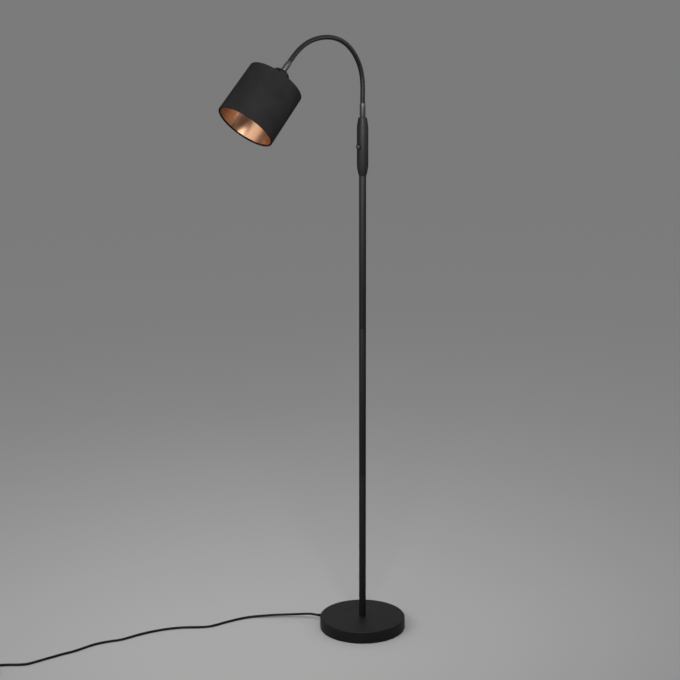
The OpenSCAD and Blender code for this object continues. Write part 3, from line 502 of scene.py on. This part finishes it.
# Box between the strain relief and the pins, narrower at the back
def addPlugBody(mesh):
    before = set(mesh.verts)
    bmesh.ops.create_cube(mesh, size=1)
    body = [v for v in mesh.verts if v not in before]
    size = (plug["length"] * mm, plug["width"] * mm, plug["thickness"] * mm)
    bmesh.ops.scale(mesh, vec=size, verts=body)
    middle = plug["relief"] + plug["length"] / 2
    bmesh.ops.translate(mesh, vec=(middle * mm, 0, 0), verts=body)
    long = [e for e in mesh.edges if e.verts[0] in body
            and abs(e.verts[0].co.x - e.verts[1].co.x) > plug["length"] / 2 * mm]
    bmesh.ops.subdivide_edges(mesh, edges=long, cuts=plug["cuts"], use_grid_fill=True)
    body = [v for v in mesh.verts if v not in before]
    narrow = plug["backWidth"] / plug["width"]
    for v in body:
        share = (v.co.x / mm - plug["relief"]) / (plug["widening"] * plug["length"])
        v.co.y *= narrow + (1 - narrow) * ease(min(share, 1))
    sharp = math.radians(50)
    edges = [e for e in mesh.edges if e.verts[0] in body and e.calc_face_angle(0) > sharp]
    rounded(mesh, edges, plug["edge"], 5)


# Pair of rods that stand on the plug's face
def addRods(mesh, outline):
    for side in (-1, 1):
        rod = turned(outline, steps=32, ring=False)
        face = plug["relief"] + plug["length"]
        put = Matrix.Translation((face * mm, side * plug["pinSpacing"] / 2 * mm, 0)) @ outwards
        bmesh.ops.transform(rod, matrix=put, verts=rod.verts)
        merge(mesh, rod)


def makePlug():
    lie = Matrix.Translation(plugEntry * mm) @ Matrix.Rotation(
        math.radians(cord["coilEntry"] + 90), 4, "Z")
    mesh = ribbedCone(
        plug["relief"] + plug["reliefLap"], plug["reliefTip"], plug["reliefEnd"], plug["ribs"])
    bmesh.ops.transform(mesh, matrix=outwards, verts=mesh.verts)
    addPlugBody(mesh)
    radius, root, end = plug["sleevePin"] / 2, -plug["sleeveRoot"], plug["sleeve"]
    addRods(mesh, [(0, root), (radius, root), (radius, end, 0.2), (0, end)])
    shell = piece(mesh, "plugBody", "stand", "cord_sheath", ["plug_body"], lie)
    pins = bmesh.new()
    radius, root = plug["pin"] / 2, end - plug["pinRoot"]
    tip = end + plug["bare"] + radius
    addRods(pins, [(0, root), (radius, end, 0.1), (radius, tip, plug["pinTip"]), (0, tip)])
    return [shell, piece(pins, "plugPins", "stand", "zinc_steel", ["plug_pins"], lie)]


# Hook-and-loop strap that holds the coil, in mm; turnShare is where it sits on a turn
tie = {"width": 9, "thickness": 0.9, "gap": 0.25, "sideGap": 0.9, "edge": 0.2, "turnShare": 0.25}


def makeTie():
    step, size = cord["coilStep"], cord["diameter"]
    x = size / 2 + step + tie["sideGap"]
    z = (size + step) / 2 + tie["gap"]
    mesh = bmesh.new()
    points = [mesh.verts.new((a * mm, 0, b * mm)) for a, b in ((x, z), (-x, z), (-x, -z), (x, -z))]
    for pair in zip(points, points[1:] + points[:1]):
        mesh.edges.new(pair)
    rounded(mesh, points, size / 2 + tie["gap"], 8, "VERTICES")
    strip = bmesh.ops.extrude_edge_only(mesh, edges=mesh.edges)["geom"]
    moved = [v for v in strip if isinstance(v, bmesh.types.BMVert)]
    bmesh.ops.translate(mesh, vec=(0, tie["width"] * mm, 0), verts=moved)
    bmesh.ops.recalc_face_normals(mesh, faces=mesh.faces)
    bmesh.ops.solidify(mesh, geom=mesh.faces, thickness=-tie["thickness"] * mm)
    bmesh.ops.reverse_faces(mesh, faces=mesh.faces)  # a wall grown outwards is inside out
    soften(mesh, tie["edge"], 2)
    middle = cord["coilRadius"] - step * (1 + tie["turnShare"])
    centre = Vector((*cord["coilCentre"], cord["coilHeight"] + step / 2))
    put = (
        Matrix.Translation(centre * mm)
        @ Matrix.Rotation(math.radians(cord["coilEntry"] + 360 * tie["turnShare"]), 4, "Z")
        @ Matrix.Translation((middle * mm, -tie["width"] / 2 * mm, 0)))
    return piece(mesh, "coilStrap", "stand", "cord_sheath", ["cord_tie"], put)


plugPieces = makePlug()
strap = makeTie()
print("cord: laid")

# Base: pressed cover over the cast weight, on a foam pad, in mm
base = {"wall": 1.2, "edge": 3, "rim": 0.4, "bore": 5.1, "padFoot": 0.4, "padTop": 0.3}


def makeBase():
    low, high = boxOf("base_cover")
    wall, edge, rim, bore = base["wall"], base["edge"], base["rim"], base["bore"]
    inner, roof = high.x - wall, high.z - wall
    outline = [(bore, high.z), (high.x, high.z, edge), (high.x, low.z, rim), (inner, low.z, rim),
               (inner, roof, edge - wall), (bore, roof)]
    mesh = turned(outline, steps=192, arcs=8)
    piece(mesh, "baseCover", "stand", "powder_coat", ["base_cover"])
    low, high = boxOf("base_pad")
    outline = [(0, low.z), (high.x, low.z, base["padFoot"]), (high.x, high.z, base["padTop"]),
               (0, high.z)]
    mesh = turned(outline, steps=160, ring=False, arcs=3)
    foam = piece(mesh, "footPad", "stand", "foam_pad", ["base_pad"])


# Bushing where the cord leaves the base, in mm
relief = {
    "root": 4, "tip": 3.4, "length": 14, "ribs": 4,
    "shank": 9, "collar": 5.6, "seat": 0.6, "lip": 1.1, "lipEdge": 0.7,
}


def makeRelief():
    length, root, bore = relief["length"], relief["root"], cord["diameter"] / 2
    mesh = ribbedCone(length, relief["tip"], root, relief["ribs"])
    bmesh.ops.transform(mesh, matrix=Matrix.Diagonal((1, 1, -1, 1)), verts=mesh.verts)
    bmesh.ops.translate(mesh, vec=(0, 0, length * mm), verts=mesh.verts)
    bmesh.ops.recalc_face_normals(mesh, faces=mesh.faces)
    shank, seat, collar = -relief["shank"], -relief["seat"], relief["collar"]
    turned([(bore, shank), (root, shank, 0.3), (root, seat), (collar, seat, 0.2),
            (collar, relief["lip"], relief["lipEdge"]), (bore, relief["lip"])],
           steps=48, mesh=mesh, arcs=4)
    put = level(cord["azimuth"], cord["exitHeight"], boxOf("base_cover")[1].x)
    piece(mesh, "cordRelief", "stand", "black_plastic", ["cord_bushing"], put)


makeBase()
makeRelief()
print("base: made")

# Pole in three lengths of tube, in mm
pole = {
    "wall": 1.2, "edge": 0.25,
    "lengths": {"pole_lower": "poleLower", "pole_middle": "poleMiddle", "pole_upper": "poleUpper"},
}


def makePole():
    for node, name in pole["lengths"].items():
        low, high = boxOf(node)
        inner = high.x - pole["wall"]
        outline = [(high.x, low.z, pole["edge"]), (high.x, high.z, pole["edge"]), (inner, high.z),
                   (inner, low.z)]
        piece(turned(outline, steps=96, arcs=3), name, "stand", "powder_coat", [node])


# Grip: lower cap, tube and upper cap, in mm
grip = {
    "wall": 2, "edge": 0.35, "spigot": 8, "poleSpigot": 18, "fit": 0.1,
    "lowRadius": 8.15, "lowSwell": 0.7, "lowBore": 3.5,
    "topRadius": 9.5, "topSwell": 0.35, "topBore": 5.05, "topEdge": 0.5, "sideSteps": 8,
}


# Side of an end cap: straight from foot to top but for a slight swell
def capSide(foot, top, swell, low, high):
    shares = [k / grip["sideSteps"] for k in range(grip["sideSteps"] + 1)]
    return [(foot + (top - foot) * t + 4 * swell * t * (1 - t), low + (high - low) * t)
            for t in shares]


def makeGrip():
    low, high = boxOf("grip_body")
    radius, inner = high.y, high.y - grip["wall"]
    outline = [(radius, low.z, grip["edge"]), (radius, high.z, grip["edge"]), (inner, high.z),
               (inner, low.z)]
    mesh = turned(outline, steps=128, arcs=3)
    piece(mesh, "gripTube", "stand", "powder_coat", ["grip_body"])

    plugged, bore = inner - grip["fit"], grip["lowBore"]
    poleTop = boxOf("pole_upper")[1]
    inPole, foot = poleTop.x - pole["wall"] - grip["fit"], poleTop.z - grip["poleSpigot"]
    side = capSide(grip["lowRadius"], radius, grip["lowSwell"], poleTop.z, low.z)
    outline = [(bore, foot), (inPole, foot, 0.4), (inPole, poleTop.z), *side, (plugged, low.z),
               (plugged, low.z + grip["spigot"]), (bore, low.z + grip["spigot"])]
    mesh = turned(outline, steps=128, arcs=3)
    piece(mesh, "gripBottomCap", "stand", "powder_coat", ["grip_bottom_cap"])

    top, foot, bore = boxOf("grip_top_cap")[1].z, high.z - grip["spigot"], grip["topBore"]
    side = capSide(radius, grip["topRadius"], grip["topSwell"], high.z, top)
    outline = [(bore, foot), (plugged, foot), (plugged, high.z), *side[:-1],
               (*side[-1], grip["topEdge"]), (bore, top)]
    mesh = turned(outline, steps=128, arcs=3)
    piece(mesh, "gripTopCap", "stand", "powder_coat", ["grip_top_cap"])


# Push switch in the grip, in mm from the grip's axis
push = {
    "azimuth": 190,  # degrees
    "width": 13, "height": 18, "back": 8, "front": 8.2, "edge": 0.5,
    "bush": 5, "bushBore": 2.9, "bushRoot": 1, "bushInset": 0.3,
    "collar": 6.5, "collarFace": 15, "collarRoot": 2, "collarFit": 0.05, "collarEdge": 0.9,
    "button": 2.8, "buttonTip": 17.3, "crown": 1.4, "crownSteps": 8, "buttonEdge": 0.15,
    "flange": 4, "flangeFace": 7.49, "flangeDepth": 1.5,
}


def makeSwitch():
    low, high = boxOf("switch_body")
    put = level(push["azimuth"], (low.z + high.z) / 2)
    mesh = bmesh.new()
    bmesh.ops.create_cube(mesh, size=1)
    size = (push["height"] * mm, push["width"] * mm, (push["back"] + push["front"]) * mm)
    bmesh.ops.scale(mesh, vec=size, verts=mesh.verts)
    forward = (push["front"] - push["back"]) / 2 * mm
    bmesh.ops.translate(mesh, vec=(0, 0, forward), verts=mesh.verts)
    soften(mesh, push["edge"])
    root, face = push["front"] - push["bushRoot"], push["collarFace"] - push["bushInset"]
    turned([(push["bushBore"], root), (push["bush"], root), (push["bush"], face, 0.3),
            (push["bushBore"], face, 0.2)], steps=64, mesh=mesh, arcs=3)
    piece(mesh, "switchHousing", "stand", "switch_plastic", ["switch_body"], put)

    bore, root = push["bush"] + push["collarFit"], boxOf("grip_body")[1].y - push["collarRoot"]
    radius, face = push["collar"], push["collarFace"]
    mesh = turned([(bore, root), (radius, root), (radius, face, push["collarEdge"]),
                   (bore, face, 0.25)], steps=96, arcs=5)
    piece(mesh, "switchCollar", "stand", "black_plastic", ["switch_collar"], put)

    radius, crown, steps = push["button"], push["crown"], push["crownSteps"]
    sphere = (radius * radius + crown * crown) / (2 * crown)
    leans = [math.asin(radius / sphere) * k / steps for k in range(steps, -1, -1)]
    cap = [(sphere * math.sin(a), push["buttonTip"] - sphere * (1 - math.cos(a))) for a in leans]
    face, back = push["flangeFace"], push["flangeFace"] - push["flangeDepth"]
    outline = [(0, back), (push["flange"], back), (push["flange"], face, 0.2), (radius, face), *cap]
    mesh = turned(outline, steps=64, ring=False, arcs=3)
    soften(mesh, push["buttonEdge"], 2, 30)
    piece(mesh, "switchButton", "button", "switch_plastic", ["switch_button"], put)


makePole()
makeGrip()
makeSwitch()
print("pole and grip: made")

# Neck and head, in mm: their places come from the joints and from the bulb socket's mount
neck = {"radius": 5.2, "bore": 3.1, "held": 12, "sides": 48, "steps": 12, "rounds": 7}
ferrule = {"radius": 6.5, "lip": 0.5, "taper": 7, "lowTail": 37, "topTail": 8, "tailRadius": 5}
head = {"socketLevel": 75.5, "ferrule": 25}
bulbMount = next(m for m in frame["record"]["mounts"] if m["name"] == "bulb_socket")
headAxis = Vector(bulbMount["axis"])
headTurn = math.atan2(-headAxis.x, headAxis.z)
neckEnd = Vector(bulbMount["pos_m"]) - headAxis * head["socketLevel"] * mm
neckFoot = Vector((0, 0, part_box("neck_ferrule_lower")[1].z))
hinges = [Vector(j["pos_m"]) for j in frame["joints"] if j["name"].startswith("neck_")]
knots = [neckFoot, *hinges, neckEnd]
neckBodies = ["stand", *(f"neck_{n:02d}" for n in range(2, 12)), "head"]


# Each link's start, lean there, bend and centre of its arc; the arcs run smoothly into each other
def neckArcs():
    lean, arcs = 0, []
    for a, b in zip(knots, knots[1:]):
        chord = b - a
        bend = 2 * (math.atan2(-chord.x, chord.z) - lean)
        radius = chord.length / (2 * math.sin(bend / 2))
        centre = a - Vector((radius * math.cos(lean), 0, radius * math.sin(lean)))
        arcs.append((a, lean, bend, centre))
        lean += bend
    return arcs


linkArcs = neckArcs()


# Frame of the neck at a share of a link, with Z along it
def neckPlace(link, share):
    start, lean, bend, centre = linkArcs[link]
    turn = Matrix.Rotation(-bend * share, 4, "Y")
    return (Matrix.Translation(centre) @ turn @ Matrix.Translation(start - centre)
            @ Matrix.Rotation(-lean, 4, "Y"))


# Frame of the head at a level in mm from the neck's end, with Z towards the shade's mouth
def headPlace(levelUp):
    return (Matrix.Translation(neckEnd + headAxis * levelUp * mm)
            @ Matrix.Rotation(-headTurn, 4, "Y"))


# Rounds off an end of the neck's tube; the frame of place has Z outwards
def ballEnd(mesh, end, place):
    rounds, radius = neck["rounds"], neck["radius"] * mm
    for k in range(1, rounds):
        before, now = (math.pi / 2 * n / rounds for n in (k - 1, k))
        end = bmesh.ops.extrude_discrete_faces(mesh, faces=[end])["faces"][0]
        narrow = math.cos(now) / math.cos(before)
        move = (
            place @ Matrix.Translation((0, 0, radius * math.sin(now)))
            @ Matrix.Diagonal((narrow, narrow, 1, 1))
            @ Matrix.Translation((0, 0, -radius * math.sin(before))) @ place.inverted())
        bmesh.ops.transform(mesh, matrix=move, verts=end.verts)


# Bent tube of one link, with a ball at each end
def tube(link):
    mesh = bmesh.new()
    bmesh.ops.create_circle(
        mesh, cap_ends=True, segments=neck["sides"], radius=neck["radius"] * mm)
    foot, tip = neckPlace(link, 0), neckPlace(link, 1)
    bmesh.ops.transform(mesh, matrix=foot, verts=mesh.verts)
    start = mesh.faces[:][0]
    bend, centre = linkArcs[link][2:]
    spun = bmesh.ops.spin(
        mesh, geom=[*mesh.verts, *mesh.edges, start], cent=centre, axis=(0, -1, 0), angle=bend,
        steps=neck["steps"])
    end = next(g for g in spun["geom_last"] if isinstance(g, bmesh.types.BMFace))
    ballEnd(mesh, end, tip)
    ballEnd(mesh, start, foot @ Matrix.Rotation(math.pi, 4, "X"))
    bmesh.ops.recalc_face_normals(mesh, faces=mesh.faces)
    return mesh


# Each link's tube ends in a ball about its hinge, so a bend opens no gap
def makeNeck():
    for link, body in enumerate(neckBodies):
        stands = [f"neck_link_{link + 1:02d}"] + (["neck_lead"] if link == 0 else [])
        piece(tube(link), f"neckTube{link + 1:02d}", body, "neck_sleeve", stands)


# Sleeve that grips the neck, with a thinner tail behind; its mouth is at 0
def ferruleShape(length, tail):
    mouth, radius, thin = neck["radius"], ferrule["radius"], ferrule["tailRadius"]
    outline = [
        (mouth, 0), (mouth + ferrule["lip"], 0, 0.25), (radius, -ferrule["taper"], 0.4),
        (radius, -length, 0.3), (thin, -length), (thin, -length - tail, 0.4),
        (neck["bore"], -length - tail), (neck["bore"], -neck["held"]), (mouth, -neck["held"])]
    return turned(outline, steps=96, arcs=3)


def makeFerrules():
    low, high = boxOf("neck_ferrule_lower")
    mesh = ferruleShape(high.z - low.z - ferrule["lowTail"], ferrule["lowTail"])
    put = Matrix.Translation(neckFoot)
    piece(mesh, "ferruleLower", "stand", "frame_wire", ["neck_ferrule_lower"], put)
    mesh = ferruleShape(head["ferrule"], ferrule["topTail"])
    put = headPlace(0) @ Matrix.Rotation(math.pi, 4, "X")
    piece(mesh, "ferruleUpper", "head", "frame_wire", ["neck_ferrule_upper"], put)


makeNeck()
makeFerrules()
print("neck: made")

# Lamp holder, in mm
holder = {
    "radius": 19, "wall": 2, "cap": 25, "shoulder": 8, "shoulderGap": 1, "shoulderSteps": 10,
    "skirt": 40, "lip": 4, "skirtThread": 2.5, "skirtRise": 0.4, "threadEnd": 1,
    "flange": 23.5, "flangeDrop": 12, "flangeDepth": 3,
    "insert": 16.9, "insertDepth": 29, "insertBore": 2.5, "well": 5, "wellDepth": 3,
    "shell": 13.3, "shellWall": 0.5, "shellLength": 21, "thread": 3.6, "rise": 0.45,
    "woundWall": 0.3, "waveSteps": 10,
    "contact": [(0, 0), (4, 0, 0.2), (4, 0.9, 0.4), (2.6, 1.1, 0.3), (1.6, 2, 0.5), (0, 2)],
    "hub": 1.5, "ring": 28.5, "ringHeight": 7, "ringFit": 0.1, "ringInset": 0.6, "ringSlope": 0.3,
    "ribs": 36, "rib": 0.8, "ribInset": 0.75, "ribEnd": 0.8,
}
# Heights of the head's parts, in mm from the neck's end
levels = {"cap": head["ferrule"]}
levels["skirt"] = levels["cap"] + holder["cap"]
levels["hub"] = levels["skirt"] + holder["flangeDrop"] + holder["flangeDepth"]
levels["ring"] = levels["hub"] + holder["hub"]
levels["shell"] = levels["skirt"] + holder["skirt"] - holder["lip"] - holder["shellLength"]
levels["insert"] = levels["shell"] - holder["insertDepth"]


# Wavy wall wound round Z: one pitch of the thread is spun with a rise, then cut flat at both ends
def threaded(radius, pitch, depth, length, steps=72):
    mesh = bmesh.new()
    points = []
    for k in range(holder["waveSteps"] + 1):
        share = k / holder["waveSteps"]
        wave = radius - depth / 2 + depth / 2 * math.cos(2 * math.pi * share)
        points.append(mesh.verts.new((wave * mm, 0, pitch * share * mm)))
    edges = [mesh.edges.new(pair) for pair in zip(points, points[1:])]
    turns = math.ceil(length / pitch) + 1
    bmesh.ops.translate(mesh, vec=(0, 0, -pitch * mm), verts=points)
    bmesh.ops.spin(
        mesh, geom=points + edges, cent=(0, 0, 0), axis=(0, 0, 1),
        dvec=(0, 0, pitch * mm / steps), angle=2 * math.pi * turns, steps=steps * turns)
    bmesh.ops.remove_doubles(mesh, verts=mesh.verts, dist=0.002 * mm)
    for height, inner in ((0, True), (length, False)):
        bmesh.ops.bisect_plane(
            mesh, geom=[*mesh.verts, *mesh.edges, *mesh.faces], plane_co=(0, 0, height * mm),
            plane_no=(0, 0, 1), clear_inner=inner, clear_outer=not inner)
    bmesh.ops.recalc_face_normals(mesh, faces=mesh.faces)
    return mesh


def makeHolderCap():
    radius, shoulder, end = holder["radius"], holder["shoulder"], holder["cap"]
    bore, inner, steps = ferrule["tailRadius"], radius - holder["wall"], holder["shoulderSteps"]
    start = ferrule["radius"] + holder["shoulderGap"]
    angles = [math.pi / 2 * k / steps for k in range(steps + 1)]
    side = [(start + (radius - start) * math.sin(a), shoulder * (1 - math.cos(a)))
            for a in angles]
    mesh = turned([(bore, 0), *side, (radius, end, 0.4), (inner, end), (inner, shoulder),
                   (bore, shoulder)], steps=128, arcs=3)
    piece(mesh, "holderCap", "head", "black_plastic", ["holder_cap"], headPlace(levels["cap"]))


# Skirt with the flange that the shade sits on, and a thread for the clamp ring
def makeHolderSkirt():
    radius, inner = holder["radius"], holder["radius"] - holder["wall"]
    flange, drop, end = holder["flange"], holder["flangeDrop"], holder["skirt"]
    under, lip = drop + holder["flangeDepth"], end - holder["lip"]
    core, bore = radius - holder["skirtRise"], holder["shell"] + holder["shellWall"]
    mesh = turned([(inner, 0), (radius, 0, 0.3), (radius, drop), (flange, drop, 0.5),
                   (flange, under, 0.5), (core, under), (core, end, 0.5), (bore, end, 0.4),
                   (bore, lip), (inner, lip)], steps=128, arcs=3)
    margin = holder["threadEnd"]
    wound = threaded(
        radius, holder["skirtThread"], 2 * holder["skirtRise"], end - under - 2 * margin)
    bmesh.ops.translate(wound, vec=(0, 0, (under + margin) * mm), verts=wound.verts)
    bmesh.ops.solidify(wound, geom=wound.faces, thickness=holder["woundWall"] * mm)
    merge(mesh, wound)
    put = headPlace(levels["skirt"])
    piece(mesh, "holderSkirt", "head", "black_plastic", ["holder_skirt"], put)


# Screw shell on its ceramic insert, with the contact at the bottom of the well
def makeSocket():
    shell = threaded(holder["shell"] + holder["shellWall"], holder["thread"], 2 * holder["rise"],
                     holder["shellLength"])
    bmesh.ops.solidify(shell, geom=shell.faces, thickness=holder["woundWall"] * mm)
    piece(shell, "screwShell", "head", "brass", ["screw_shell"], headPlace(levels["shell"]))
    radius, well, bore = holder["insert"], holder["well"], holder["insertBore"]
    depth, bottom = holder["insertDepth"], holder["insertDepth"] - holder["wellDepth"]
    mesh = turned([(bore, 0), (radius, 0, 0.5), (radius, depth, 0.6), (well, depth, 0.5),
                   (well, bottom, 0.3), (bore, bottom, 0.3)], steps=96, arcs=3)
    put = headPlace(levels["insert"])
    piece(mesh, "ceramicInsert", "head", "ceramic_insert", ["holder_insert"], put)
    mesh = turned(holder["contact"], steps=48, ring=False, arcs=3)
    put = headPlace(levels["shell"] - holder["wellDepth"])
    piece(mesh, "centreContact", "head", "brass", ["centre_contact"], put)


# Ring that clamps the shade, with ribs for the fingers
def makeShadeRing():
    bore, outer, height = holder["radius"] + holder["ringFit"], holder["ring"], holder["ringHeight"]
    foot, waist = height / 3, holder["flange"] - holder["ringInset"]
    mesh = turned([(bore, 0), (outer, 0, 0.5), (outer, foot, 0.6),
                   (waist, foot + holder["ringSlope"], 0.5), (waist, height, 0.7),
                   (bore, height, 0.4)], steps=144, arcs=4)
    radius, top = holder["rib"], height - holder["ribEnd"]
    for k in range(holder["ribs"]):
        rib = turned([(0, foot), (radius, foot), (radius, top, 0.5), (0, top)],
                     steps=8, ring=False, arcs=2)
        out = (holder["flange"] - holder["ribInset"]) * mm
        put = Matrix.Rotation(2 * math.pi * k / holder["ribs"], 4, "Z") @ Matrix.Translation(
            (out, 0, 0))
        bmesh.ops.transform(rib, matrix=put, verts=rib.verts)
        merge(mesh, rib)
    put = headPlace(levels["ring"])
    piece(mesh, "shadeRing", "head", "black_plastic", ["shade_clamp_ring"], put)


makeHolderCap()
makeHolderSkirt()
makeSocket()
makeShadeRing()
print("lamp holder: made")

# Shade: laminated cloth on two wire rings, lined with foil, in mm
shade = {
    "top": 64, "mouth": 66, "height": 121, "hubDrop": 12,
    "cloth": 0.8, "hem": 1.9, "hemSides": 20, "steps": 192,
    "foil": 0.5, "tuck": 0.6,  # the foil ends this far under the hems
    "lap": 9, "lapDepth": 0.3, "lapSteps": 8,
    "lapAt": 97,  # degrees round the shade
}
levels["shade"] = levels["hub"] - shade["hubDrop"]


def shadeRadius(s):
    return shade["top"] + (shade["mouth"] - shade["top"]) * s / shade["height"]


# UV map in metres: round the shade and down it
def unwrap(data, place):
    back = place.inverted()
    layer = data.uv_layers.new(name="weave")
    middle = (shade["top"] + shade["mouth"]) / 2 * mm
    for face in data.polygons:
        turns = []
        for index in face.vertices:
            spot = back @ data.vertices[index].co
            turns.append((math.atan2(spot.y, spot.x), spot.z))
        first = turns[0][0]
        for loop, (turn, up) in zip(face.loop_indices, turns):
            near = (turn - first + math.pi) % (2 * math.pi) - math.pi + first
            layer.data[loop].uv = (near * middle, up)


# Wall of the shade's slant, a depth in from its outside
def slantWall(depth, thickness, low, high, angle=360, steps=shade["steps"]):
    outer = [(shadeRadius(s) - depth, s) for s in (low, high)]
    inner = [(radius - thickness, s) for radius, s in reversed(outer)]
    return turned([*outer, *inner], steps=steps, angle=angle)


def makeShade():
    place = headPlace(levels["shade"])
    tall, hem = shade["height"], shade["hem"]
    mesh = slantWall(0, shade["cloth"], hem, tall - hem)
    clothWall = piece(mesh, "shadeCloth", "head", "shade_cloth", ["shade_fabric"], place)
    unwrap(clothWall.data, place)
    mesh = bmesh.new()
    angles = [2 * math.pi * k / shade["hemSides"] for k in range(shade["hemSides"])]
    for s in (hem, tall - hem):
        middle = shadeRadius(s) - hem
        roll = [(middle + hem * math.cos(a), s + hem * math.sin(a)) for a in angles]
        merge(mesh, turned(roll, steps=shade["steps"]))
    hems = piece(mesh, "shadeHems", "head", "shade_cloth", [], place)
    unwrap(hems.data, place)

    low, high = 2 * hem - shade["tuck"], tall - 2 * hem + shade["tuck"]
    mesh = slantWall(shade["cloth"], shade["foil"], low, high)
    lap = slantWall(shade["cloth"] + shade["foil"], shade["lapDepth"], low, high,
                    math.degrees(shade["lap"] / shade["top"]), shade["lapSteps"])
    bmesh.ops.holes_fill(lap, edges=lap.edges)
    bmesh.ops.recalc_face_normals(lap, faces=lap.faces)
    turn = Matrix.Rotation(math.radians(shade["lapAt"]), 3, "Z")
    bmesh.ops.rotate(lap, verts=lap.verts, matrix=turn)
    merge(mesh, lap)
    lining = piece(mesh, "foilLining", "head", "foil_lining", ["shade_liner"], place)
    unwrap(lining.data, place)


makeShade()
print("shade: made")

# Frame nodes that stay take their finish from here
kept = {
    "base_plate": "zinc_steel", "plate_screws": "zinc_steel", "base_weight": "cast_weight",
    "anchor_rod": "brass", "anchor_washer": "zinc_steel", "anchor_nut": "zinc_steel",
    "cord_clamp": "ceramic_insert", "clamp_screws": "zinc_steel", "supply_lead": "cord_sheath",
    "pole_foot_bush": "zinc_steel", "pole_joiner_1": "zinc_steel", "pole_joiner_2": "zinc_steel",
    "neck_locknut": "zinc_steel", "shade_frame": "frame_wire", "shade_bottom_ring": "frame_wire",
}
for node, slot in kept.items():
    data = frame["nodes"][node].data
    data.materials.clear()
    data.materials.append(finishes[slot])
print("kept nodes: finished")

# Studio: a plain floor that runs out to the same tone as the air behind it, and soft lights
studio = {
    "floor": "#959595", "air": "#7b7b7b", "floorRadius": 200,  # metres
    # azimuth, height and softness in degrees, strength
    "sun": ("topSun", 192, 80, 150, 1.45),
    # name, place and aim in metres, width and height in metres, watts, spread in degrees
    "lamps": [
        ("keyLamp", (-0.6, -0.82, 1.52), (-0.1, 0, 1.0), (0.45, 0.45), 9.6, 110),
        ("sideLamp", (-1.7, -0.36, 1.35), (-0.85, 0, 1.05), (1.3, 0.45), 9.5, 120),
        ("farLamp", (0.45, -0.66, 1.44), (-0.2, 0, 1.3), (0.4, 0.4), 1.1, 110),
    ],
}


def makeFloor():
    material = bpy.data.materials.new("pale studio floor")
    material.use_nodes = True
    shader = material.node_tree.nodes["Principled BSDF"]
    shader.inputs["Base Color"].default_value = linear(studio["floor"])
    shader.inputs["Roughness"].default_value = 1
    shader.inputs["Specular IOR Level"].default_value = 0
    mesh = bmesh.new()
    bmesh.ops.create_circle(mesh, cap_ends=True, segments=64, radius=studio["floorRadius"])
    data = bpy.data.meshes.new("studioFloor")
    mesh.to_mesh(data)
    mesh.free()
    data.materials.append(material)
    floor = bpy.data.objects.new("studioFloor", data)
    bpy.context.scene.collection.objects.link(floor)


def makeAir():
    world = bpy.data.worlds.new("studioAir")
    world.use_nodes = True
    back = world.node_tree.nodes["Background"]
    back.inputs["Color"].default_value = linear(studio["air"])
    bpy.context.scene.world = world


def makeSun():
    name, azimuth, height, softness, strength = studio["sun"]
    light = bpy.data.lights.new(name, "SUN")
    light.energy = strength
    light.angle = math.radians(softness)
    lamp = bpy.data.objects.new(name, light)
    bpy.context.scene.collection.objects.link(lamp)
    towards = heading(azimuth) + Vector((0, 0, math.tan(math.radians(height))))
    lamp.rotation_euler = towards.to_track_quat("Z", "Y").to_euler()


def makeLamps():
    for name, place, aim, size, power, spread in studio["lamps"]:
        light = bpy.data.lights.new(name, "AREA")
        light.energy = power
        light.shape = "RECTANGLE"
        light.size, light.size_y = size
        light.spread = math.radians(spread)
        lamp = bpy.data.objects.new(name, light)
        lamp.visible_camera = False
        bpy.context.scene.collection.objects.link(lamp)
        lamp.location = place
        lamp.rotation_euler = (Vector(aim) - lamp.location).to_track_quat("-Z", "Y").to_euler()


makeFloor()
makeAir()
makeSun()
makeLamps()
bpy.context.scene.view_settings.view_transform = "Standard"
print("studio: lit")
